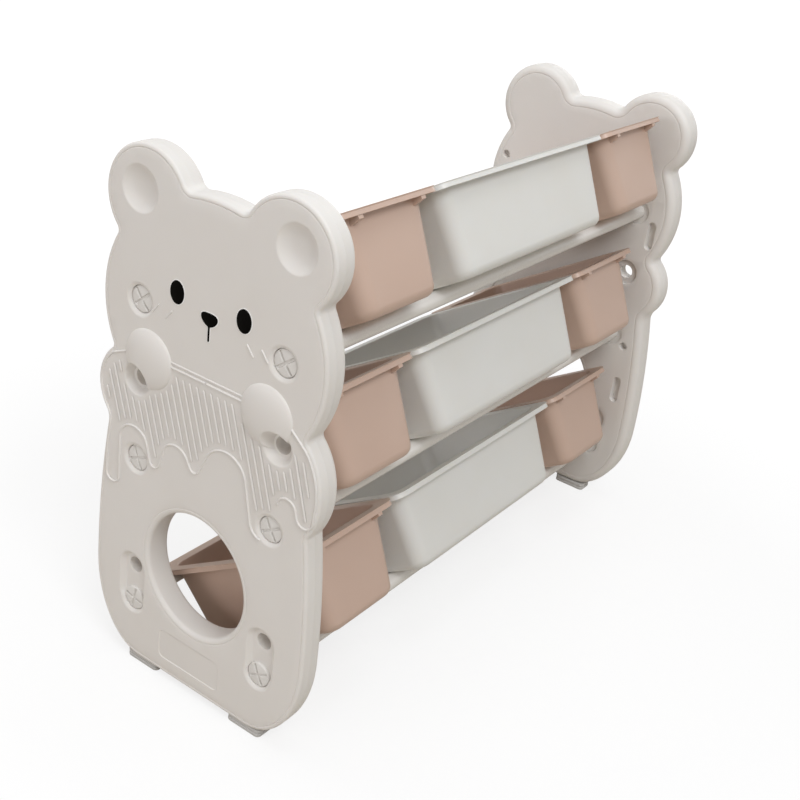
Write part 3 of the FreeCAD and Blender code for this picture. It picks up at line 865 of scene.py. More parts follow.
@dataclass(frozen=True)
class EndPanel:
    """Moulded bear panel with its relief, keyholes, sockets and round hole.

    Attributes:
        thickness: Thickness of the panel.
        outer_round: Rounding of the outer rim.
        inner_round: Rounding of the inner rim.
        groove: Fine groove beside a rounded rim: distance from the rim and depth.
        hole_radius: Half height of the big round hole.
        hole_narrow: Its width as a share of its height.
        hole_round: Rounding of that hole at both faces.
        hole_place: Place across and height of its centre.
        spare_spread: Distance between the front and rear spare holes.
        spare_radius: Radius of a spare hole.
        keyhole_level: Height of the spare holes over the bottom screws.
        paw_hole_level: Height of the spare holes under the paws.
        paw: Place across and height of a paw.
        seat: Floor radius, face radius, depth and flare depth of a screw's recess.
        neck_radius: Radius of the screw's hole.
        socket_radius: Radius of a rod's socket.
        socket_ring: Radius and depth of the ring round a socket on the inner face.
        web_end: Depth at which a rod's socket starts.
        ear_dish: Place across and height of an ear's dish.
        keyhole: Floor radius and face radius of the long recess from a spare hole to a screw.
        keyhole_rise: How far its lower end lies over the screw.
        paw_recess: Floor radius and face radius of the recess under a paw, and of the part of it
            that opens the paw's cap.
        paw_depth: Depth of that recess.
        pocket: Floor radius, face radius and depth of the small recesses of the inner face.
        slot_reach: Half length of those that are slots.
        slot_places: Places of the slots.
        blind_holes: Places of the round ones.
        edge_break: Steps of a hole's softened edge: how far out and how deep each one lies.
        parting: Half width and height of the mould's parting line round the rim.
        net_spacing: Distance between the loose points of the faces' nets.
    """

    thickness: float = 40.0
    outer_round: float = 4.6
    inner_round: float = 13.0
    groove: tuple[tuple[float, float], ...] = ((3.0, 0.0), (2.5, 0.12), (1.8, 0.8), (1.1, 0.12),
                                               (0.6, 0.0))
    hole_radius: float = 93.5
    hole_narrow: float = 0.94
    hole_round: float = 7.0
    hole_place: tuple[float, float] = (-3.3, 205.6)
    spare_spread: float = 244.0
    spare_radius: float = 12.0
    keyhole_level: float = 163.0
    paw_hole_level: float = 462.5
    paw: tuple[float, float] = (101.0, 499.0)
    seat: tuple[float, float, float, float] = (19.2, 23.4, 7.6, 2.6)
    neck_radius: float = 10.5
    socket_radius: float = 12.8
    socket_ring: tuple[float, float] = (22.3, 5.0)
    web_end: float = 21.0
    ear_dish: tuple[float, float] = (125.1, 721.0)
    keyhole: tuple[float, float] = (17.5, 24.0)
    keyhole_rise: float = 9.0
    paw_recess: tuple[tuple[float, float], ...] = ((16.0, 23.5), (15.0, 20.5))
    paw_depth: float = 11.0
    pocket: tuple[float, float, float] = (6.2, 7.2, 12.0)
    slot_reach: float = 18.0
    slot_places: tuple[tuple[float, float], ...] = ((154.0, 236.0), (-154.0, 236.0),
                                                    (154.0, 540.0), (-154.0, 540.0))
    blind_holes: tuple[tuple[float, float], ...] = ((158.0, 607.0), (-150.0, 324.0))
    edge_break: tuple[tuple[float, float], ...] = ((0.9, 0.0), (0.25, 0.3), (0.0, 0.9))
    parting: tuple[float, float] = (0.7, 0.22)
    net_spacing: float = 14.0

    def outer_forms(self) -> list[Form]:
        """Everything pressed into or raised from the outer face."""
        floor, mouth, depth, flare = self.seat
        spare_y, level, paw_depth = self.spare_spread / 2, self.paw_hole_level, self.paw_depth
        recess, opening = self.paw_recess
        forms: list[Form] = [Sweater(Outline()), Plate()]
        for sign in (-1, 1):
            y = sign * spare_y
            forms += [Dish(sign * self.ear_dish[0], self.ear_dish[1]),
                      Funnel(y, RACK.bottom_row + self.keyhole_rise, self.keyhole_level,
                             *self.keyhole, depth, depth, soften=1.6, reach=3.0),
                      Funnel(y, level, level, *recess, paw_depth, paw_depth, soften=1.6, reach=7.0),
                      Dome(sign * self.paw[0], self.paw[1]),
                      Funnel(y, level, level, *opening, paw_depth, paw_depth, soften=1.4, reach=0.0)]
            forms += [Funnel(sign * RACK.rod_spacing / 2, RACK.row(row), RACK.row(row), floor,
                             mouth, depth, flare) for row in range(3)]
        return forms

    def inner_forms(self) -> list[Form]:
        """Recesses of the inner face."""
        floor, mouth, depth = self.pocket
        reaches = [(place, self.slot_reach) for place in self.slot_places]
        reaches += [(place, 0.0) for place in self.blind_holes]
        return [Funnel(y, z - reach, z + reach, floor, mouth, depth, depth, soften=1.2, reach=2.0)
                for (y, z), reach in reaches]

    def bores(self) -> list[Bore]:
        """Holes from face to face: the big one, the rod seats and the spare holes."""
        back, lip = self.thickness, self.hole_round
        bend = np.linspace(0, math.pi / 2, 9)
        rounding = [(self.hole_radius + lip * (1 - math.sin(turn)), lip * (1 - math.cos(turn)))
                    for turn in bend]
        outer = [(self.hole_radius + lip + reach, depth) for reach, depth in self.groove] + rounding
        inner = [(radius, back - depth) for radius, depth in reversed(outer)]
        found = [Bore(*self.hole_place, tuple(outer + inner), steps=112, narrow=self.hole_narrow)]
        ring, ring_depth = self.socket_ring
        ring_end = [(ring, back - ring_depth)]
        ring_end += [(ring + out, back - down) for out, down in reversed(self.edge_break)]
        depth = self.seat[2]
        for sign in (-1, 1):
            for row in range(3):
                profile = [(self.neck_radius, depth), (self.neck_radius, self.web_end),
                           (self.socket_radius, self.web_end),
                           (self.socket_radius, back - ring_depth), *ring_end]
                found.append(Bore(sign * RACK.rod_spacing / 2, RACK.row(row), tuple(profile)))
            for level, start in ((self.keyhole_level, depth), (self.paw_hole_level, self.paw_depth)):
                hole = self.spare_radius
                profile = [(hole + out, start + down) for out, down in self.edge_break]
                profile += [(hole, back - ring_depth), *ring_end]
                found.append(Bore(sign * self.spare_spread / 2, level, tuple(profile)))
        return found

    def rim(self) -> list[tuple[float, float]]:
        """Inset and depth of each line round the panel, from the outer to the inner face."""
        bend = np.linspace(0, math.pi / 2, 8)
        near, far = self.outer_round, self.inner_round
        back = self.thickness
        outer = [(near + reach, depth) for reach, depth in self.groove]
        outer += [(near * (1 - math.sin(turn)), near * (1 - math.cos(turn))) for turn in bend]
        inner = [(far * (1 - math.cos(turn)), back - far * (1 - math.sin(turn)))
                 for turn in np.linspace(0, math.pi / 2, 11)]
        inner += [(far + reach, back - depth) for reach, depth in reversed(self.groove)]
        seam = (outer[-1][1] + inner[0][1]) / 2
        half, height = self.parting
        return outer + [(0.0, seam - half), (-height, seam), (0.0, seam + half)] + inner

    def solid(self, places: Array, depth: Array | float) -> Array:
        """Points below the right panel's outer face, by one depth or by each one's own."""
        return np.column_stack([np.full(len(places), RACK.half_length) - depth, places])

    def face(self, shell: Shell, forms: Sequence[Form], border: Array, holes: Sequence[Array],
             hole_depths: Sequence[float], plane: float, sign: float) -> None:
        """Adds one face of the panel with its relief.

        Args:
            shell: Where the face goes.
            forms: What is pressed into or raised from it.
            border: Its outer edge.
            holes: Edges of the holes in it.
            hole_depths: Depth of each hole's edge below the face.
            plane: Depth of the flat face from the outer side.
            sign: 1 where depth runs inward, -1 on the inner face.
        """
        lines = [line for form in forms for line in form.loops()]
        net, faces = face_net(border, holes, lines, self.net_spacing)
        depth = np.zeros(len(net))
        for form in forms:
            depth = form.shape(net, depth)
        depth[edge_distance(net, border) < ON_LINE] = 0
        for hole, level in zip(holes, hole_depths):
            depth[edge_distance(net, hole) < ON_LINE] = level
        shell.patch(self.solid(net, plane + sign * depth), faces)

    def build(self, side: Side, finish: bpy.types.Material) -> Thing:
        """Makes one end panel.

        Args:
            side: Which of the two.
            finish: Its plastic.

        Returns:
            The panel's object.
        """
        shell = Shell()
        places, ways, _ = Outline().trace()
        rim = self.rim()
        shell.band([self.solid(places - inset * ways, depth) for inset, depth in rim])
        bores = self.bores()
        for bore in bores:
            shell.band([self.solid(bore.ring(radius), depth) for radius, depth in bore.profile])
        self.face(shell, self.outer_forms(), places - rim[0][0] * ways,
                  [bore.ring(bore.profile[0][0]) for bore in bores],
                  [bore.profile[0][1] for bore in bores], 0.0, 1.0)
        self.face(shell, self.inner_forms(), places - rim[-1][0] * ways,
                  [bore.ring(bore.profile[-1][0]) for bore in bores],
                  [self.thickness - bore.profile[-1][1] for bore in bores], self.thickness, -1.0)
        return shell.carried(side).build(f"panel_{side.word}_moulded", finish)


# Bins


@dataclass(frozen=True)
class StorageBin:
    """Tapered bin that hooks over the front rod and lies on the rear rod.

    Its own places are across, along the floor to the rear, and up square to the floor.

    Attributes:
        length: Length over the rim.
        middle: Place of its middle along the rods.
        wall: Thickness of its walls and floor.
        rim_thickness: Thickness of the flange.
        rim_width: Width of the flange past the end and rear walls.
        skirt_height: Height of the skirt that folds down from the flange, flange included.
        skirt_thickness: Thickness of the skirt.
        rod_gap: Space between the front rod and the wall behind it.
        skirt_gap: Space between the front rod and the skirt before it.
        rear_reach: Distance from the rear rod to the top of the rear wall.
        draft: How far the front and rear walls lean in over their height.
        end_draft: How far the end walls lean in.
        tub_corner: Radius of the upright corners.
        rim_corner: Radius of the flange's corners.
        floor_round: Rounding between the walls and the floor.
        edge_round: Rounding of the flange's edges.
        crown: How far the middle of a large wall bows outward.
        gusset: Width and height of the small webs under the rear flange.
        webbed: Whether it has those webs, as only the small bins do.
        mouth_round: Rounding of the mouth.
        floor_ring: How far the floor's outermost ring of faces reaches past its rounding.
        wall_ends: Distances of a wall's lowest line from the floor's rounding, and of its highest
            line from the flange.
        neck_flare: How far below the flange the walls start to flare, and how far out they are
            there and at the flange.
        skirt_fillet: Rounding between the flange and the skirt, and how far its middle lies from
            both.
        skirt_bevel: Heights of the bevels at the skirt's inner and outer lower edge. The outer one
            is the width of both.
        notch_gap: How far under the flange the skirt ends where the front rod passes.
        web_overlap: How far the webs reach into the flange.
        web_toe: How far inside the rear wall the webs' lower ends lie.
        round_steps: Loops in each rounding.
        wall_steps: Loops up each wall.
        corner_steps: Points in each corner, less one.
        side_steps: Parts that each side is cut into.
    """

    length: float
    middle: float
    wall: float = 2.5
    rim_thickness: float = 3.0
    rim_width: float = 16.0
    skirt_height: float = 8.0
    skirt_thickness: float = 2.5
    rod_gap: float = 1.0
    skirt_gap: float = 0.6
    rear_reach: float = 90.0
    draft: float = 11.4
    end_draft: float = 13.7
    tub_corner: float = 24.0
    rim_corner: float = 20.0
    floor_round: float = 13.0
    edge_round: float = 1.2
    crown: float = 0.9
    gusset: tuple[float, float] = (9.0, 14.0)
    webbed: bool = True
    mouth_round: float = 1.4
    floor_ring: float = 14.0
    wall_ends: tuple[float, float] = (12.0, 2.0)
    neck_flare: tuple[float, float, float] = (0.6, 0.35, 1.8)
    skirt_fillet: tuple[float, float] = (1.2, 0.35)
    skirt_bevel: tuple[float, float] = (0.3, 0.4)
    notch_gap: float = 0.02
    web_overlap: float = 0.4
    web_toe: float = 0.6
    round_steps: int = 8
    wall_steps: int = 7
    corner_steps: int = 9
    side_steps: int = 7

    @property
    def rod_forward(self) -> float:
        """Distance of the rods from the middle, along the floor."""
        return RACK.rod_spacing / 2 * math.cos(math.radians(RACK.tilt))

    @property
    def rod_upward(self) -> float:
        """Distance of the rods from the middle, square to the floor."""
        return RACK.rod_spacing / 2 * math.sin(math.radians(RACK.tilt))

    @property
    def floor(self) -> float:
        """Level of the floor's underside."""
        return RACK.rod_radius + RACK.seat_gap - self.rod_upward

    @property
    def rim(self) -> float:
        """Level of the flange's underside."""
        return RACK.rod_radius + RACK.seat_gap + self.rod_upward

    def section(self, level: float, inset: float) -> Array:
        """Loop round the walls.

        Args:
            level: Height of the loop.
            inset: How far it lies inside the walls' outer side.

        Returns:
            Its points.
        """
        rise = (level - self.floor) / (self.rim - self.floor)
        lean = 1 - rise
        half = self.length / 2 - self.rim_width - self.end_draft * lean - inset
        front = RACK.rod_radius + self.rod_gap - self.rod_forward + self.draft * lean + inset
        rear = self.rod_forward + self.rear_reach - self.draft * lean - inset
        loop = rounded_loop((-half, half), (front, rear), self.tub_corner - inset,
                            self.corner_steps, self.side_steps)
        bow = self.crown * max(0.0, math.sin(math.pi * min(max(rise, 0.0), 1.0)))
        across = np.cos(math.pi / 2 * np.clip(loop[:, 0] / half, -1, 1))
        loop[:, 1] += np.where(loop[:, 1] > (front + rear) / 2, bow, 0.0) * across
        return at_level(loop, level)

    def flange(self, level: float, inset: float) -> Array:
        """Loop round the flange.

        Args:
            level: Height of the loop.
            inset: How far it lies inside the flange's edge.

        Returns:
            Its points.
        """
        half = self.length / 2 - inset
        front = -(self.rod_forward + RACK.rod_radius + self.skirt_gap + self.skirt_thickness) + inset
        rear = self.rod_forward + self.rear_reach + self.rim_width - inset
        loop = rounded_loop((-half, half), (front, rear), self.rim_corner - inset,
                            self.corner_steps, self.side_steps)
        return at_level(loop, level)

    def hem(self, level: float, inset: float) -> Array:
        """Loop of the skirt, which ends at the flange where the front rod passes under it."""
        loop = self.flange(level, inset)
        start = -(self.rod_forward + RACK.rod_radius + self.skirt_gap)
        end = RACK.rod_radius + self.rod_gap - self.rod_forward
        notched = (loop[:, 1] > start) & (loop[:, 1] < end + self.wall)
        loop[notched, 2] = np.maximum(loop[notched, 2], self.rim - self.notch_gap)
        return loop

    def rounding(self, radius: float, level: float, inset: float, turns: Array) -> list[Array]:
        """Loops of a hollow rounding between a flat floor and a wall.

        Args:
            radius: Its radius.
            level: Height of the floor.
            inset: How far the wall lies inside the walls' outer side.
            turns: Angles from the floor's end, at 0, to the wall's end.

        Returns:
            One loop for each angle.
        """
        return [self.section(level + radius * (1 - math.cos(turn)),
                             inset + radius * (1 - math.sin(turn))) for turn in turns]

    def loops(self) -> list[Array]:
        """Loops from the middle of the outer floor to the middle of the inner floor."""
        floor, rim, wall, foot = self.floor, self.rim, self.wall, self.floor_round
        skirt, edge, lip = self.skirt_thickness, self.edge_round, self.mouth_round
        top = rim + self.rim_thickness
        low = top - self.skirt_height
        drop, flare, spread = self.neck_flare
        fillet, near = self.skirt_fillet
        inside, outside = self.skirt_bevel
        bend = np.linspace(0, math.pi / 2, self.round_steps)
        levels = np.linspace(floor + foot + self.wall_ends[0], rim - self.wall_ends[1],
                             self.wall_steps)
        outer = [self.section(floor, foot + self.floor_ring), *self.rounding(foot, floor, 0.0, bend)]
        outer += [self.section(level, 0) for level in levels]
        outer += [self.section(rim - drop, -flare), self.section(rim, -spread)]
        under = [self.flange(rim, skirt + fillet), self.hem(rim - near, skirt + near),
                 self.hem(rim - fillet, skirt), self.hem(low + inside, skirt),
                 self.hem(low, skirt - outside), self.hem(low, outside), self.hem(low + outside, 0)]
        over = [self.flange(top - edge * math.sin(turn), edge * (1 - math.cos(turn)))
                for turn in reversed(bend)]
        mouth = [self.section(top - lip * (1 - math.sin(turn)), wall - lip * (1 - math.cos(turn)))
                 for turn in reversed(bend[::2])]
        inner = [self.section(level, wall) for level in reversed(levels)]
        inner += self.rounding(foot - wall, floor + wall, wall, bend[::-1])
        inner.append(self.section(floor + wall, foot + self.floor_ring))
        return outer + under + over + mouth + inner

    def webs(self, shell: Shell) -> None:
        """Adds the small webs under the rear flange."""
        width, height = self.gusset
        rear = self.rod_forward + self.rear_reach
        outer = rear + self.rim_width - self.skirt_thickness / 2
        low = self.rim - height
        top = self.rim + self.web_overlap
        profile = [(rear - self.wall / 2, top), (outer, top), (outer, low + height / 3),
                   (rear - self.web_toe, low), (rear - self.wall / 2, low)]
        reach = self.length / 2 - self.rim_width - self.tub_corner
        for middle in (-reach, reach):
            ends = [np.array([(x, s, h) for s, h in profile])
                    for x in (middle - width / 2, middle + width / 2)]
            shell.closed_band(ends)

    def build(self, name: str, row: Row, finish: bpy.types.Material) -> Thing:
        """Makes one bin in its place.

        Args:
            name: Name of the piece.
            row: Row that it hangs in.
            finish: Its plastic.

        Returns:
            The bin's object.
        """
        shell = Shell()
        shell.closed_band(self.loops())
        if self.webbed:
            self.webs(shell)
        tilt = math.radians(RACK.tilt)
        turn = np.array([[1, 0, 0], [0, math.cos(tilt), -math.sin(tilt)],
                         [0, math.sin(tilt), math.cos(tilt)]])
        shift = np.array([self.middle, 0, RACK.row(row.value)])
        shell.rows = [points @ turn.T + shift for points in shell.rows]
        return shell.build(name, finish)


# Feet, face and screws


@dataclass(frozen=True)
class Foot:
    """Grooved rubber pad under a panel's bottom edge.

    Attributes:
        length: Length along the panel.
        width: Width across it.
        height: Height of the pad.
        corner: Radius of its upright corners.
        groove: Height and depth of the groove round it.
        reach: Distance of the feet from the panel's middle.
    """

    length: float = 60.0
    width: float = 34.0
    height: float = 12.0
    corner: float = 7.0
    groove: tuple[float, float] = (3.0, 1.2)
    reach: float = 100.0

    def build(self, side: Side, place: str, finish: bpy.types.Material) -> Thing:
        """Makes one foot.

        Args:
            side: The panel that it carries.
            place: front or rear, as in the node's name.
            finish: Its rubber.

        Returns:
            The foot's object.
        """
        middle, (rise, cut) = self.height / 2, self.groove
        lower = [(6.0, 0.0), (1.0, 0.0), (0.3, 0.3), (0.0, 1.0), (0.0, middle - rise / 2 - 0.4),
                 (0.3, middle - rise / 2), (cut, middle - rise / 2 + 0.3)]
        profile = lower + [(inset, self.height - level) for inset, level in reversed(lower)]
        centre = side.value * (RACK.half_length - EndPanel.thickness / 2)
        y = -self.reach if place == "front" else self.reach
        shell = Shell()
        loops = []
        for inset, level in profile:
            half, span = self.width / 2 - inset, self.length / 2 - inset
            loop = rounded_loop((centre - half, centre + half), (y - span, y + span),
                                max(self.corner - inset, 0.8), 6)
            loops.append(at_level(loop, level))
        shell.closed_band(loops)
        return shell.build(f"foot_pad_{place}_{side.word}", finish)


@dataclass(frozen=True)
class Face:
    """Black eyes and nose, let into the face with a thin pale edge.

    Attributes:
        eye: Half width and half height of an eye.
        eye_spread: Distance between the eyes.
        eye_level: Height of the eyes.
        nose: Half width of the nose, and its reach up and down from its widest place.
        nose_level: Height of that place.
        nose_bend: Exponents of its upper and lower outline: 2 is an ellipse, 1 a straight side.
        mouth: Lower end and width of the line under the nose.
        thickness: How far the black stands above the face.
        edge: Width and height of the pale edge.
    """

    eye: tuple[float, float] = (12.0, 15.7)
    eye_spread: float = 111.0
    eye_level: float = 608.0
    nose: tuple[float, float, float] = (14.0, 6.6, 11.9)
    nose_level: float = 592.6
    nose_bend: tuple[float, float] = (2.7, 1.65)
    mouth: tuple[float, float] = (561.0, 3.1)
    thickness: float = 0.8
    edge: tuple[float, float] = (1.2, 0.35)

    def eye_line(self, sign: int) -> Array:
        """Outline of one eye."""
        return circle(0, 0, 1, 56) * self.eye + [sign * self.eye_spread / 2, self.eye_level]

    def nose_line(self) -> Array:
        """Outline of the nose with the line under it, anticlockwise from the line's end."""
        half_width, rise, drop = self.nose
        upper, lower = self.nose_bend
        end_level, width = self.mouth
        half = width / 2
        turns = np.linspace(-math.pi / 2, math.pi / 2, 41)
        bend, reach = np.where(turns < 0, lower, upper), np.where(turns < 0, drop, rise)
        up = self.nose_level + reach * np.sign(turns) * np.abs(np.sin(turns)) ** (2 / bend)
        body = np.stack([half_width * np.abs(np.cos(turns)) ** (2 / bend), up], 1)
        body = body[(body[:, 0] > half + 0.3) | (turns > 0)]
        end_turns = np.linspace(-math.pi / 2, 0, 6)
        end = np.stack([half * np.cos(end_turns), end_level + half + half * np.sin(end_turns)], 1)
        join = np.array([[half, body[0, 1] - 1.2]])
        right = np.vstack([end, join, body[:-1]])
        top = np.array([[0.0, self.nose_level + rise]])
        left = right[1:][::-1] * np.array([-1, 1])
        return np.vstack([right, top, left])

    def plaque(self, shell: Shell, line: Array, grow: float, height: float) -> None:
        """Adds a thin plate with a softened edge that stands on the face.

        Args:
            shell: Where the plate goes.
            line: Its outline, anticlockwise.
            grow: How far its edge lies outside that outline.
            height: How far it stands above the face.
        """
        before, after = np.roll(line, 1, 0), np.roll(line, -1, 0)
        along = after - before
        out = np.stack([along[:, 1], -along[:, 0]], 1)
        out /= np.linalg.norm(out, axis=1)[:, None]
        soft = min(0.35, height / 2)
        panel = EndPanel()
        steps = ((0.0, 0.15), (0.0, soft - height), (-0.12, soft * 0.3 - height), (-soft, -height))
        shell.closed_band([panel.solid(line + (grow + shift) * out, depth) for shift, depth in steps])

    def build(self, side: Side, black: bpy.types.Material,
              pale: bpy.types.Material) -> tuple[Thing, Thing, Thing]:
        """Makes the eyes and the nose of one panel.

        Args:
            side: Which panel.
            black: Finish of the eyes and nose.
            pale: Finish of their thin edge.

        Returns:
            The eyes, the nose and the pale edges.
        """
        eyes, nose, edges = Shell(), Shell(), Shell()
        grow, low = self.edge
        for sign in (-1, 1):
            self.plaque(eyes, self.eye_line(sign), 0.0, self.thickness)
            self.plaque(edges, self.eye_line(sign), grow, low)
        self.plaque(nose, self.nose_line(), 0.0, self.thickness)
        self.plaque(edges, self.nose_line(), grow, low)
        return (eyes.carried(side).build(f"eyes_gloss_{side.word}", black),
                nose.carried(side).build(f"nose_gloss_{side.word}", black),
                edges.carried(side).build(f"face_edges_{side.word}", pale))


@dataclass(frozen=True)
class Screw:
    """Broad plastic screw with a crowned, cross-slotted head.

    Attributes:
        radius: Radius of the head.
        height: Height of the head.
        inset: How far the crown's middle lies below the panel's face.
        crown: How much higher the middle is than the rim.
        slot: Width and depth of the cross slot.
        slot_length: Length of the slot.
        turns: Angles in degrees of the six screws, front and rear from the lowest row up.
        flare: Width and slope of the slot's walls.
        soften: How much depth the rounding of the slot's edges takes up.
        edge_round: Rounding of the head's rim.
        ring_steps: Points round the rim.
    """

    radius: float = 17.9
    height: float = 5.0
    inset: float = 2.7
    crown: float = 1.2
    slot: tuple[float, float] = (2.9, 3.2)
    slot_length: float = 32.5
    turns: tuple[float, ...] = (78.0, 27.0, 24.0, 31.0, 41.0, 38.0)
    flare: tuple[float, float] = (0.8, 4.0)
    soften: float = 0.7
    edge_round: float = 0.9
    ring_steps: int = 64

    def shape(self, places: Array) -> Array:
        """Depth of the head's top below the panel's face."""
        away = np.hypot(places[:, 0], places[:, 1])
        depth = self.inset + self.crown * (away / self.radius) ** 2
        (width, cut), (flare, slope) = self.slot, self.flare
        arms = []
        for along, across in ((0, 1), (1, 0)):
            wall = (width / 2 + flare - np.abs(places[:, across])) * slope
            end = (self.slot_length / 2 + flare - np.abs(places[:, along])) * slope
            arms.append(np.minimum(np.minimum(wall, end), cut))
        return soft_max(depth, depth + np.maximum(*arms), self.soften)

    def head(self, finish: bpy.types.Material) -> Thing:
        """Makes one head round the X axis, its underside at the recess's floor."""
        edge, steps = self.edge_round, self.ring_steps
        border = circle(0, 0, self.radius - edge, steps)
        rings = [circle(0, 0, radius, 48) for radius in (self.radius - 2 * edge, 12.0, 7.0)]
        reach, width = self.slot_length / 2, self.slot[0] / 2
        strips = []
        for inset in (-0.9, -0.35, 0.2, 0.9):
            half, span = width - inset, reach + 0.6 - inset
            side = np.stack([np.linspace(-1, 1, 25) * span, np.full(25, half)], 1)
            strip = np.vstack([side[::-1], side * np.array([1, -1])])
            strips += [strip, strip[:, ::-1][::-1]]
        net, faces = face_net(border, [], rings + strips, 2.4, 0.5)
        depth, rim_depth = self.shape(net), self.inset + self.crown
        depth[edge_distance(net, border) < ON_LINE] = rim_depth
        shell, panel = Shell(), EndPanel()
        shell.patch(panel.solid(net, depth), faces)
        profile = [(self.radius - edge, rim_depth), (self.radius - edge / 3, rim_depth + 0.25),
                   (self.radius, rim_depth + edge), (self.radius, self.inset + self.height)]
        loops = [panel.solid(circle(0, 0, radius, steps), level) for radius, level in profile]
        shell.band(loops)
        shell.cap(loops[-1])
        shell.rows = [points - np.array([RACK.half_length, 0, 0]) for points in shell.rows]
        return shell.build("screw_head", finish)


# Geometry Nodes: ridges that follow lines, and screws set on their points


class NodeBoard:
    """Makes the nodes of a tree and joins their sockets."""

    def __init__(self, tree: bpy.types.NodeTree) -> None:
        """Starts with an empty tree."""
        self.tree = tree
        tree.nodes.clear()

    def node(self, kind: str, settings: dict[str, Any] | None = None,
             inputs: dict[int | str, Any] | None = None) -> bpy.types.Node:
        """Makes one node.

        Args:
            kind: Its type name.
            settings: Properties to set on it.
            inputs: Sockets, terms or plain values by input name or number.

        Returns:
            The new node.
        """
        made = self.tree.nodes.new(kind)
        for name, value in (settings or {}).items():
            setattr(made, name, value)
        for name, value in (inputs or {}).items():
            self.feed(made.inputs[name], value)
        return made

    def mixed(self, share: Any, first: Sequence[float], second: Sequence[float]) -> Socket:
        """Mixes two colours.

        Args:
            share: Share of the second one.
            first: Red, green and blue of the first colour.
            second: The same of the second one.

        Returns:
            The mixed colour's socket.
        """
        return self.node("ShaderNodeMix", {"data_type": "RGBA"},
                         {0: share, 6: (*first, 1.0), 7: (*second, 1.0)}).outputs[2]

    def noise(self, place: Socket, scale: float, detail: float = 3.0) -> "Term":
        """Makes a noise pattern.

        Args:
            place: The coordinates.
            scale: Scale of the pattern.
            detail: Number of finer layers.

        Returns:
            Its value from 0 to 1.
        """
        made = self.node("ShaderNodeTexNoise", {"noise_dimensions": "3D"},
                         {"Vector": place, "Scale": scale, "Detail": detail, "Roughness": 0.55})
        return Term(self, made.outputs[0])

    def feed(self, target: Socket, value: Any) -> None:
        """Joins a socket or term to an input, or sets a plain value on it."""
        if isinstance(value, Term):
            value = value.socket
        if isinstance(value, bpy.types.NodeSocket):
            self.tree.links.new(value, target)
        else:
            target.default_value = value


class Term:
    """A socket's value that can be used in sums."""

    def __init__(self, board: NodeBoard, socket: Socket) -> None:
        """Wraps a socket.

        Args:
            board: Board that makes the nodes of the sums.
            socket: The socket.
        """
        self.board = board
        self.socket = socket

    def maths(self, operation: str, *others: Any) -> "Term":
        """Result of a maths node with this value as the first operand."""
        return self.result(operation, self, *others)

    def flipped(self, operation: str, other: Any) -> "Term":
        """Result of a maths node with this value as the second operand."""
        return self.result(operation, other, self)

    def clamped(self) -> "Term":
        """The value kept between 0 and 1."""
        return self.result("MULTIPLY", self, 1.0, clamp=True)

    def result(self, operation: str, *values: Any, clamp: bool = False) -> "Term":
        """Makes one maths node.

        Args:
            operation: Name of the operation.
            values: The operands.
            clamp: Whether the result is kept between 0 and 1.

        Returns:
            Its result.
        """
        made = self.board.node("ShaderNodeMath", {"operation": operation, "use_clamp": clamp},
                               dict(enumerate(values)))
        return Term(self.board, made.outputs[0])

    def __add__(self, other: Any) -> "Term":
        """Sum."""
        return self.maths("ADD", other)

    def __radd__(self, other: Any) -> "Term":
        """Sum with a plain number first."""
        return self.flipped("ADD", other)

    def __sub__(self, other: Any) -> "Term":
        """Difference."""
        return self.maths("SUBTRACT", other)

    def __rsub__(self, other: Any) -> "Term":
        """Difference from a plain number."""
        return self.flipped("SUBTRACT", other)

    def __mul__(self, other: Any) -> "Term":
        """Product."""
        return self.maths("MULTIPLY", other)

    def __truediv__(self, other: Any) -> "Term":
        """Quotient."""
        return self.maths("DIVIDE", other)

    def __pow__(self, other: Any) -> "Term":
        """Power."""
        return self.maths("POWER", other)


def node_tree(name: str, inputs: dict[str, tuple[str, Any]]) -> tuple[NodeBoard, dict[str, Socket]]:
    """Starts a Geometry Nodes tree with named inputs.

    Args:
        name: Name of the tree.
        inputs: Socket type and default of each input besides the geometry.

    Returns:
        The board and the group input's sockets by name.
    """
    tree = bpy.data.node_groups.new(name, "GeometryNodeTree")
    tree.interface.new_socket("Geometry", in_out="INPUT", socket_type="NodeSocketGeometry")
    tree.interface.new_socket("Geometry", in_out="OUTPUT", socket_type="NodeSocketGeometry")
    for label, (kind, default) in inputs.items():
        made = tree.interface.new_socket(label, in_out="INPUT", socket_type=kind)
        if default is not None:
            made.default_value = default
    board = NodeBoard(tree)
    start = board.node("NodeGroupInput")
    return board, {socket.name: socket for socket in start.outputs if socket.name}


def finish_tree(board: NodeBoard, geometry: Socket, material: Socket) -> None:
    """Ends a tree with plain geometry that has its material."""
    plain = board.node("GeometryNodeRealizeInstances", inputs={0: geometry})
    dressed = board.node("GeometryNodeSetMaterial",
                         inputs={"Geometry": plain.outputs[0], "Material": material})
    board.node("NodeGroupOutput", inputs={0: dressed.outputs[0]})


def grow(base: Thing, tree: bpy.types.NodeTree, values: dict[str, Any], name: str) -> Thing:
    """Runs a tree on an object and keeps the outcome as a plain mesh.

    Args:
        base: Object that the tree starts from, removed afterwards.
        tree: The Geometry Nodes tree.
        values: Values of its named inputs.
        name: Name of the new piece.

    Returns:
        The new piece at the origin.
    """
    modifier = base.modifiers.new("Grow", "NODES")
    modifier.node_group = tree
    for item in tree.interface.items_tree:
        if item.item_type == "SOCKET" and item.in_out == "INPUT" and item.name in values:
            modifier[item.identifier] = values[item.name]
    bpy.context.view_layer.update()
    graph = bpy.context.evaluated_depsgraph_get()
    mesh = bpy.data.meshes.new_from_object(base.evaluated_get(graph), preserve_all_data_layers=True,
                                           depsgraph=graph)
    base.modifiers.remove(modifier)
    bpy.data.objects.remove(base)
    mesh.name = name
    return smooth_piece(name, mesh)


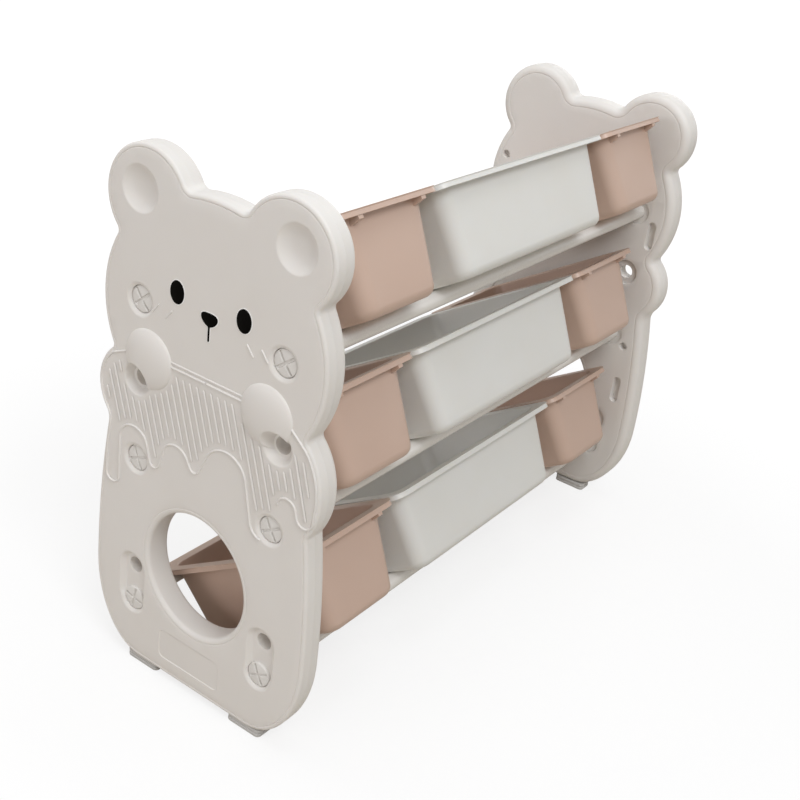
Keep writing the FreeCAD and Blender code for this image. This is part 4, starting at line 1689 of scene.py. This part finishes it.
def line_object(name: str, lines: Sequence[Array]) -> Thing:
    """Makes an object of bare edges that follow open lines.

    Args:
        name: Its name.
        lines: Points of each line in millimetres.

    Returns:
        The object.
    """
    edges, count = [], 0
    for line in lines:
        edges += [(k, k + 1) for k in range(count, count + len(line) - 1)]
        count += len(line)
    mesh = bpy.data.meshes.new(name)
    mesh.from_pydata((np.vstack(lines) * MM).tolist(), edges, [])
    return put_in_scene(name, mesh)


def ridge_tree() -> bpy.types.NodeTree:
    """Tree that raises a half-round ridge along every line, thinner toward its ends."""
    board, start = node_tree("Ridges", {
        "Width": ("NodeSocketFloat", 0.003), "Height": ("NodeSocketFloat", 0.001),
        "Spacing": ("NodeSocketFloat", 0.0015), "Taper": ("NodeSocketFloat", 0.002),
        "Facing": ("NodeSocketVector", (1, 0, 0)), "Finish": ("NodeSocketMaterial", None)})
    curve = board.node("GeometryNodeMeshToCurve", inputs={0: start["Geometry"]})
    even = board.node("GeometryNodeResampleCurve", {"mode": "LENGTH"},
                      {"Curve": curve.outputs[0], "Length": start["Spacing"]})
    walked = board.node("GeometryNodeSplineParameter")
    whole = Term(board, board.node("GeometryNodeSplineLength").outputs["Length"])
    gone = Term(board, walked.outputs["Length"])
    near = gone.maths("MINIMUM", whole - gone)
    share = (near / start["Taper"]).maths("MINIMUM", 1.0)
    swell = (1.0 - (1.0 - share) ** 2.0).maths("SQRT").maths("MAXIMUM", 0.12)
    upright = board.node("GeometryNodeSetCurveNormal", {"mode": "FREE"},
                         {"Curve": even.outputs[0], "Normal": start["Facing"]})
    ring = board.node("GeometryNodeCurveArc", inputs={
        "Resolution": 13, "Radius": 1.0, "Start Angle": -math.pi / 2, "Sweep Angle": math.pi})
    stretch = board.node("ShaderNodeCombineXYZ",
                         inputs={0: start["Height"], 1: Term(board, start["Width"]) * 0.5, 2: 1.0})
    squeezed = board.node("GeometryNodeTransform", inputs={"Geometry": ring.outputs[0],
                                                           "Scale": stretch.outputs[0]})
    joined = board.node("GeometryNodeSetSplineCyclic",
                        inputs={0: squeezed.outputs[0], "Cyclic": True})
    swept = board.node("GeometryNodeCurveToMesh", inputs={"Curve": upright.outputs[0],
                                                          "Profile Curve": joined.outputs[0],
                                                          "Fill Caps": True, "Scale": swell})
    finish_tree(board, swept.outputs[0], start["Finish"])
    return board.tree


def screw_tree() -> bpy.types.NodeTree:
    """Tree that sets one screw head on every point, turned by the point's own angle."""
    board, start = node_tree("Screws", {"Head": ("NodeSocketObject", None),
                                        "Finish": ("NodeSocketMaterial", None)})
    head = board.node("GeometryNodeObjectInfo", inputs={"Object": start["Head"]})
    angle = board.node("GeometryNodeInputNamedAttribute", {"data_type": "FLOAT"}, {"Name": "turn"})
    turn = board.node("ShaderNodeCombineXYZ", inputs={0: angle.outputs["Attribute"]})
    placed = board.node("GeometryNodeInstanceOnPoints", inputs={
        "Points": start["Geometry"], "Instance": head.outputs["Geometry"], "Rotation": turn.outputs[0]})
    finish_tree(board, placed.outputs[0], start["Finish"])
    return board.tree


@dataclass(frozen=True)
class Ridge:
    """One kind of raised line on the panel's face.

    Attributes:
        name: What it is called in the piece's name.
        width: Full width.
        height: Height above the surface that it stands on.
        taper: Length over which its ends thin out.
        level: How far the surface under it stands above the face.
    """

    name: str
    width: float
    height: float
    taper: float
    level: float


@dataclass(frozen=True)
class Stitching:
    """Raised lines of the sweater and the face: ribs, drip bead, neckline and blush.

    Attributes:
        pitch: Distance between neighbouring ribs.
        lean: How far a rib moves to the rear over each millimetre that it drops.
        rib_top: Height at which the ribs end.
        above_edge: Distance of the ribs' lower ends from the sweater's edge.
        clear: Free distances round a paw, a recess and the sweater's edge.
        lowest: Height below which there are no ribs.
        bead_inset: How far the bead lies inside the sweater's edge, and from the outline.
        numbers: Numbers of the first rib and of the one past the last.
        first: Place across of rib 0 at its top.
        step: Distance between the heights at which a rib is tried.
        least: Fewest neighbouring tries that make a rib, and points that make a bead.
        bead_gap: Distance at which the bead ends before a screw's recess.
        neckline: Half length and height of the neckline.
        blush: Upper and lower ends of the rear cheek's two strokes.
    """

    pitch: float = 12.05
    lean: float = 0.31
    rib_top: float = 495.0
    above_edge: float = 7.0
    clear: tuple[float, float, float] = (45.0, 28.0, 9.5)
    lowest: float = 345.0
    bead_inset: tuple[float, float] = (1.7, 6.3)
    numbers: tuple[int, int] = (-22, 18)
    first: float = -3.6
    step: float = 1.5
    least: tuple[int, int] = (7, 4)
    bead_gap: float = 0.5
    neckline: tuple[float, float] = (62.0, 509.4)
    blush: tuple[tuple[tuple[float, float], ...], ...] = (((62.2, 581.0), (74.0, 566.3)),
                                                          ((85.4, 582.5), (97.6, 567.5)))

    def ribs(self, sweater: Sweater, panel: EndPanel) -> list[Array]:
        """Leaning knit lines, cut where a paw, a recess or the edge is near."""
        border = sweater.border()
        holes = [(sign * panel.spare_spread / 2, panel.paw_hole_level) for sign in (-1, 1)]
        kept_clear = [((sign * panel.paw[0], panel.paw[1]), self.clear[0]) for sign in (-1, 1)]
        kept_clear += [(spot, self.clear[1]) for spot in RACK.rods + holes]
        lines = []
        levels = np.arange(self.lowest, self.rib_top, self.step)
        shift = self.lean * (self.rib_top - levels)
        for number in range(*self.numbers):
            spots = np.stack([number * self.pitch + self.first + shift, levels], 1)
            free = inside(spots, border) & (edge_distance(spots, border) > self.clear[2])
            free &= inside(spots + self.above_edge * np.array([self.lean, -1.0]), border)
            for spot, reach in kept_clear:
                free &= np.hypot(*(spots - np.array(spot)).T) > reach
            lines += [run[[0, -1]] for run in self.runs(spots, free, self.least[0])]
        return lines

    def runs(self, spots: Array, free: Array, least: int) -> list[Array]:
        """Unbroken stretches of a line.

        Args:
            spots: The line's points.
            free: Which of them are kept.
            least: Fewest points that a stretch has.

        Returns:
            The points of each stretch.
        """
        breaks = np.flatnonzero(np.diff(np.concatenate([[0], free.astype(int), [0]])))
        pairs = zip(breaks[::2], breaks[1::2])
        return [spots[begin:end] for begin, end in pairs if end - begin >= least]

    def bead(self, sweater: Sweater, panel: EndPanel) -> list[Array]:
        """Bead along the sweater's edge, open where it meets a screw's recess."""
        line = sweater.border(*self.bead_inset)
        start = int(np.argmax(line[:, 1]))
        line = np.vstack([line[start:], line[:start + 1]])
        free = np.ones(len(line), bool)
        for spot in RACK.rods:
            free &= np.hypot(*(line - np.array(spot)).T) > panel.seat[1] + self.bead_gap
        return self.runs(line, free, self.least[1])

    def kinds(self, panel: EndPanel) -> list[tuple[Ridge, list[Array]]]:
        """Every kind of raised line with its places."""
        sweater = Sweater(Outline())
        stand = sweater.height
        half, level = self.neckline
        neck = np.array([(y, level) for y in np.linspace(-half, half, 21)])
        blush = [np.array(stroke) * [sign, 1] for sign in (-1, 1) for stroke in self.blush]
        return [(Ridge("ribs", 3.8, 1.4, 5.0, stand - 0.1), self.ribs(sweater, panel)),
                (Ridge("drip_bead", 3.6, 2.9, 1.8, -0.9), self.bead(sweater, panel)),
                (Ridge("neckline", 3.2, 1.3, 1.5, -0.1), [neck]),
                (Ridge("blush", 2.6, 1.5, 2.0, -0.1), blush)]

    def build(self, side: Side, tree: bpy.types.NodeTree, finish: bpy.types.Material) -> list[Thing]:
        """Makes all the raised lines of one panel.

        Args:
            side: Which panel.
            tree: The ridge tree.
            finish: The panel's plastic.

        Returns:
            One object for each kind.
        """
        panel = EndPanel()
        made = []
        for kind, lines in self.kinds(panel):
            solid = [side.carry(panel.solid(line, -kind.level)) for line in lines]
            base = line_object(kind.name, solid)
            made.append(grow(base, tree, {"Width": kind.width * MM, "Height": kind.height * MM,
                                          "Taper": kind.taper * MM, "Facing": (side.value, 0.0, 0.0),
                                          "Finish": finish}, f"{kind.name}_{side.word}"))
        return made


def set_screws(side: Side, tree: bpy.types.NodeTree, finish: bpy.types.Material) -> Thing:
    """Makes the six screws of one panel.

    Args:
        side: Which panel.
        tree: The screw tree.
        finish: Their plastic.

    Returns:
        One object with all six.
    """
    screw = Screw()
    head = screw.head(finish)
    points = side.carry(EndPanel().solid(np.array(RACK.rods), 0.0))
    mesh = bpy.data.meshes.new("screw_points")
    mesh.from_pydata((points * MM).tolist(), [], [])
    angles = mesh.attributes.new("turn", "FLOAT", "POINT")
    angles.data.foreach_set("value", np.radians(screw.turns))
    base = put_in_scene("screw_points", mesh)
    if side is Side.LEFT:
        head.data.transform(Matrix.Rotation(math.pi, 4, "Z"))
    made = grow(base, tree, {"Head": head, "Finish": finish}, f"screw_heads_{side.word}")
    bpy.data.objects.remove(head)
    return made


# Materials


@dataclass(frozen=True)
class Plastic:
    """Look of one plastic, rubber or coated surface, patterned on the object's own coordinates.

    Attributes:
        name: Name of the material.
        colour: Its colour.
        shade: The slightly different colour that it drifts to.
        drift: Size of the slow colour changes, as a scale of the pattern.
        rough: Lowest and highest roughness.
        grain: Scale and strength of the fine grain.
        wave: Scale and strength of the slow waviness.
        coat: Strength and roughness of a clear outer layer.
        glow: How much light passes through under the surface.
        shine: Strength of the plain reflection.
    """

    name: str
    colour: tuple[float, float, float]
    shade: tuple[float, float, float]
    drift: float = 6.0
    rough: tuple[float, float] = (0.36, 0.5)
    grain: tuple[float, float] = (900.0, 0.05)
    wave: tuple[float, float] = (14.0, 0.05)
    coat: tuple[float, float] = (0.0, 0.3)
    glow: float = 0.0
    shine: float = 0.5

    def material(self) -> bpy.types.Material:
        """Makes the material."""
        made = bpy.data.materials.new(self.name)
        made.use_nodes = True
        board = NodeBoard(made.node_tree)
        place = board.node("ShaderNodeTexCoord").outputs["Object"]
        slow = board.noise(place, self.drift)
        fine = board.noise(place, self.grain[0], 2.0)
        wave = board.noise(place, self.wave[0], 1.0)
        low, high = self.rough
        rough = low + (slow * 0.6 + fine * 0.4) * (high - low)
        waved = board.node("ShaderNodeBump", inputs={"Height": wave, "Strength": self.wave[1],
                                                     "Distance": 0.004})
        grained = board.node("ShaderNodeBump", inputs={"Height": fine, "Strength": self.grain[1],
                                                       "Distance": 0.0004,
                                                       "Normal": waved.outputs[0]})
        surface = board.node("ShaderNodeBsdfPrincipled", inputs={
            "Base Color": board.mixed(((slow - 0.35) * 3.0).clamped(), self.colour, self.shade),
            "Roughness": rough, "Normal": grained.outputs[0],
            "IOR": 1.47, "Specular IOR Level": self.shine, "Coat Weight": self.coat[0],
            "Coat Roughness": self.coat[1],
            "Subsurface Weight": self.glow, "Subsurface Radius": (0.008, 0.006, 0.004),
            "Subsurface Scale": 1.0})
        board.node("ShaderNodeOutputMaterial", inputs={"Surface": surface.outputs[0]})
        return made


PANEL_PLASTIC = Plastic("panel_plastic", (0.80, 0.775, 0.745), (0.78, 0.75, 0.715),
                        rough=(0.42, 0.56), glow=0.06)
BIN_CREAM = Plastic("bin_plastic_cream", (0.745, 0.74, 0.715), (0.725, 0.715, 0.68),
                    rough=(0.32, 0.44), glow=0.1)
BIN_PINK = Plastic("bin_plastic_pink", (0.585, 0.43, 0.35), (0.56, 0.405, 0.325),
                   rough=(0.3, 0.42), glow=0.08)
ROD_COAT = Plastic("rod_coating", (0.79, 0.765, 0.73), (0.76, 0.735, 0.70), rough=(0.22, 0.32),
                   wave=(30.0, 0.02), coat=(0.3, 0.12))
SCREW_PLASTIC = Plastic("screw_plastic", (0.80, 0.785, 0.76), (0.775, 0.755, 0.725),
                        rough=(0.4, 0.52))
PLUG_PLASTIC = Plastic("plug_plastic", (0.76, 0.73, 0.67), (0.72, 0.69, 0.62), rough=(0.45, 0.6))
FOOT_RUBBER = Plastic("foot_rubber", (0.62, 0.61, 0.595), (0.56, 0.55, 0.535), rough=(0.62, 0.78),
                      grain=(1400.0, 0.16))
FACE_BLACK = Plastic("face_gloss", (0.0015, 0.0012, 0.001), (0.003, 0.0025, 0.002),
                     rough=(0.5, 0.62), grain=(700.0, 0.02), shine=0.03)
EDGE_WHITE = Plastic("face_edge", (0.94, 0.935, 0.925), (0.92, 0.91, 0.895), rough=(0.4, 0.5))


# Stage


@dataclass(frozen=True)
class Lamp:
    """A soft area light.

    Attributes:
        name: Its name.
        place: Where it hangs, in metres.
        size: Its two side lengths in metres.
        power: Its power in watts.
        colour: Its colour.
    """

    name: str
    place: tuple[float, float, float]
    size: tuple[float, float]
    power: float
    colour: tuple[float, float, float] = WHITE


LAMPS = (Lamp("key_softbox", (2.2, 3.2, 4.6), (2.2, 2.2), 150.0, (0.95, 0.975, 1.0)),
         Lamp("top_softbox", (0.2, 0.2, 4.6), (2.6, 2.6), 56.0, (0.93, 0.97, 1.0)),
         Lamp("end_softbox", (4.5, -1.5, 1.2), (2.4, 2.0), 31.0, (0.95, 0.92, 0.96)),
         Lamp("front_softbox", (0.8, -4.0, 2.2), (2.4, 2.0), 24.0),
         Lamp("far_end_softbox", (-4.0, -0.5, 2.0), (2.0, 2.0), 22.0))


@dataclass(frozen=True)
class Studio:
    """Plain floor, white surroundings, soft lights and the photo's camera.

    Attributes:
        floor_size: Side of the floor in metres.
        floor_colour: Grey level of the floor.
        floor_bounce: Colour of the light that the floor throws back on the object.
        floor_glow: Share of the floor's look that is plain white, with no shadow on it.
        floor_white: Strength of that white.
        floor_fade: Distances in metres between which the rest turns plain white as well.
        ambient: Light level of the surroundings.
        ambient_colour: Colour of that light.
        aim: Place in metres that the lamps are turned to.
        place: Where the camera stands, in millimetres.
        turn: Its angle round the object, from +X toward +Y.
        rise: Its angle above the horizon.
        roll: Its turn round its own axis.
        lens: Focal length for a 36 mm wide picture.
        shift: Shift of the picture to the right and up.
    """

    floor_size: float = 18.0
    floor_colour: float = 0.8
    floor_bounce: tuple[float, float, float] = (0.63, 0.59, 0.53)
    floor_glow: float = 0.72
    floor_white: float = 1.08
    floor_fade: tuple[float, float] = (0.7, 1.8)
    ambient: float = 0.3
    ambient_colour: tuple[float, float, float] = (1.0, 0.95, 0.9)
    aim: tuple[float, float, float] = (0.0, 0.0, 0.4)
    place: tuple[float, float, float] = (1491.0, 920.0, 1195.5)
    turn: float = 0.570933
    rise: float = 0.468624
    roll: float = 0.134741
    lens: float = 54.29
    shift: tuple[float, float] = (0.0062, -0.003)

    def seen(self, board: NodeBoard) -> Term:
        """1 for rays that come straight from the camera, a mirror or glass."""
        path = board.node("ShaderNodeLightPath")
        straight, mirror, glass = (Term(board, path.outputs[name]) for name in
                                   ("Is Camera Ray", "Is Glossy Ray", "Is Transmission Ray"))
        return straight.maths("MAXIMUM", mirror).maths("MAXIMUM", glass)

    def surroundings(self) -> None:
        """Makes the world: white where it is seen, softer as a light."""
        world = bpy.data.worlds.new("surroundings")
        world.use_nodes = True
        board = NodeBoard(world.node_tree)
        seen = self.seen(board)
        strength = self.ambient + seen * (1.0 - self.ambient)
        colour = board.mixed(seen, self.ambient_colour, WHITE)
        light = board.node("ShaderNodeBackground", inputs={"Color": colour, "Strength": strength})
        board.node("ShaderNodeOutputWorld", inputs={"Surface": light.outputs[0]})
        bpy.context.scene.world = world

    def floor(self) -> Thing:
        """Makes the floor, which looks white but still takes the object's shadow."""
        half = self.floor_size / 2
        mesh = bpy.data.meshes.new("floor")
        mesh.from_pydata([(-half, -half, 0), (half, -half, 0), (half, half, 0), (-half, half, 0)], [],
                         [(0, 1, 2, 3)])
        made = bpy.data.materials.new("floor_paper")
        made.use_nodes = True
        board = NodeBoard(made.node_tree)
        path = Term(board, board.node("ShaderNodeLightPath").outputs["Is Camera Ray"])
        place = board.node("ShaderNodeTexCoord").outputs["Object"]
        away = Term(board, board.node("ShaderNodeVectorMath", {"operation": "LENGTH"},
                                      {0: place}).outputs["Value"])
        near, far = self.floor_fade
        faded = ((away - near) / (far - near)).clamped()
        share = self.floor_glow + faded * (1.0 - self.floor_glow)
        colour = board.mixed(path, self.floor_bounce, (self.floor_colour,) * 3)
        matt = board.node("ShaderNodeBsdfDiffuse", inputs={"Color": colour})
        shine = board.node("ShaderNodeEmission", inputs={"Color": (*WHITE, 1.0),
                                                         "Strength": self.floor_white})
        both = board.node("ShaderNodeMixShader", inputs={0: path * share,
                                                         1: matt.outputs[0], 2: shine.outputs[0]})
        board.node("ShaderNodeOutputMaterial", inputs={"Surface": both.outputs[0]})
        mesh.materials.append(made)
        return put_in_scene("floor", mesh)

    def lights(self) -> None:
        """Hangs the soft lights, each turned toward the middle of the object."""
        for lamp in LAMPS:
            light = bpy.data.lights.new(lamp.name, "AREA")
            light.shape = "RECTANGLE"
            light.size, light.size_y = lamp.size
            light.energy, light.color = lamp.power, lamp.colour
            holder = put_in_scene(lamp.name, light)
            holder.location = lamp.place
            aim = Vector(self.aim) - Vector(lamp.place)
            holder.rotation_euler = aim.to_track_quat("-Z", "Y").to_euler()

    def camera(self) -> None:
        """Sets up the camera from which the photo was taken."""
        lens = bpy.data.cameras.new("camera")
        lens.lens, lens.sensor_width = self.lens, 36.0
        lens.shift_x, lens.shift_y = self.shift
        lens.clip_end = 60.0
        holder = put_in_scene("camera", lens)
        back = Vector((math.cos(self.rise) * math.cos(self.turn),
                       math.cos(self.rise) * math.sin(self.turn), math.sin(self.rise)))
        right = Vector((0, 0, 1)).cross(back).normalized()
        up = back.cross(right)
        tilted = math.cos(self.roll) * right + math.sin(self.roll) * up
        crown = -math.sin(self.roll) * right + math.cos(self.roll) * up
        axes = Matrix((tilted, crown, back)).transposed().to_4x4()
        holder.matrix_world = Matrix.Translation(Vector(self.place) * MM) @ axes
        bpy.context.scene.camera = holder

    def build(self) -> None:
        """Sets up everything around the object."""
        self.surroundings()
        self.floor()
        self.lights()
        self.camera()
        bpy.context.scene.view_settings.view_transform = "Standard"


# Whole unit


class Unit:
    """Puts all the pieces on the frame."""

    def __init__(self) -> None:
        """Makes the materials and the node trees."""
        self.panel = PANEL_PLASTIC.material()
        self.cream = BIN_CREAM.material()
        self.pink = BIN_PINK.material()
        self.rod = ROD_COAT.material()
        self.screw = SCREW_PLASTIC.material()
        self.plug = PLUG_PLASTIC.material()
        self.rubber = FOOT_RUBBER.material()
        self.black = FACE_BLACK.material()
        self.edge = EDGE_WHITE.material()
        self.ridges = ridge_tree()
        self.screws = screw_tree()
        self.count = 0

    def keep(self, piece: Thing, body: str, slot: str, *nodes: str) -> None:
        """Lets a piece ride on its body and stand for CAD nodes.

        Args:
            piece: The piece.
            body: Body that it moves with.
            slot: Name of a material slot; not used.
            nodes: CAD nodes that it replaces.
        """
        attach(piece, body)
        if nodes:
            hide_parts(*nodes)
        self.count += 1
        LOG.info("%s: %d faces, on %s", piece.name, len(piece.data.polygons), body)

    def ends(self, side: Side) -> None:
        """Adds one end panel with all that belongs to it."""
        self.keep(EndPanel().build(side, self.panel), RACK_BODY, "panel_white", f"panel_{side.word}")
        for piece in Stitching().build(side, self.ridges, self.panel):
            self.keep(piece, RACK_BODY, "panel_white")
        eyes, nose, edges = Face().build(side, self.black, self.edge)
        self.keep(eyes, RACK_BODY, "face_black", f"eyes_{side.word}")
        self.keep(nose, RACK_BODY, "face_black", f"nose_{side.word}")
        self.keep(edges, RACK_BODY, "panel_white")
        self.keep(set_screws(side, self.screws, self.screw), RACK_BODY, "screw_white",
                  f"screws_{side.word}")
        for place in ("front", "rear"):
            self.keep(Foot().build(side, place, self.rubber), RACK_BODY, "foot_grey",
                      f"foot_{place}_{side.word}")

    def bins(self) -> None:
        """Adds the nine bins."""
        for row in Row:
            for column in Column:
                middle, length = column.value
                white = column is Column.CENTRE
                node = f"bin_{row.word}_{column.word}"
                piece = StorageBin(length, middle, webbed=not white).build(
                    f"storage_{node}", row, self.cream if white else self.pink)
                self.keep(piece, node, "bin_white" if white else "bin_pink", node)

    def repaint(self) -> None:
        """Gives the rods and their plugs their detailed materials."""
        for name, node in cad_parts.items():
            if name.startswith("rod_"):
                for holder in node.material_slots:
                    holder.material = self.plug if name.startswith("rod_plugs") else self.rod

    def build(self) -> None:
        """Adds every piece."""
        for side in Side:
            self.ends(side)
        self.bins()
        self.repaint()
        LOG.info("%d pieces", self.count)


def main() -> None:
    """Builds the looks of the shelving unit on its frame."""
    logging.basicConfig(level=logging.INFO, format="%(message)s")
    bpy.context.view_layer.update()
    Unit().build()
    Studio().build()


if __name__ == "__main__":
    main()
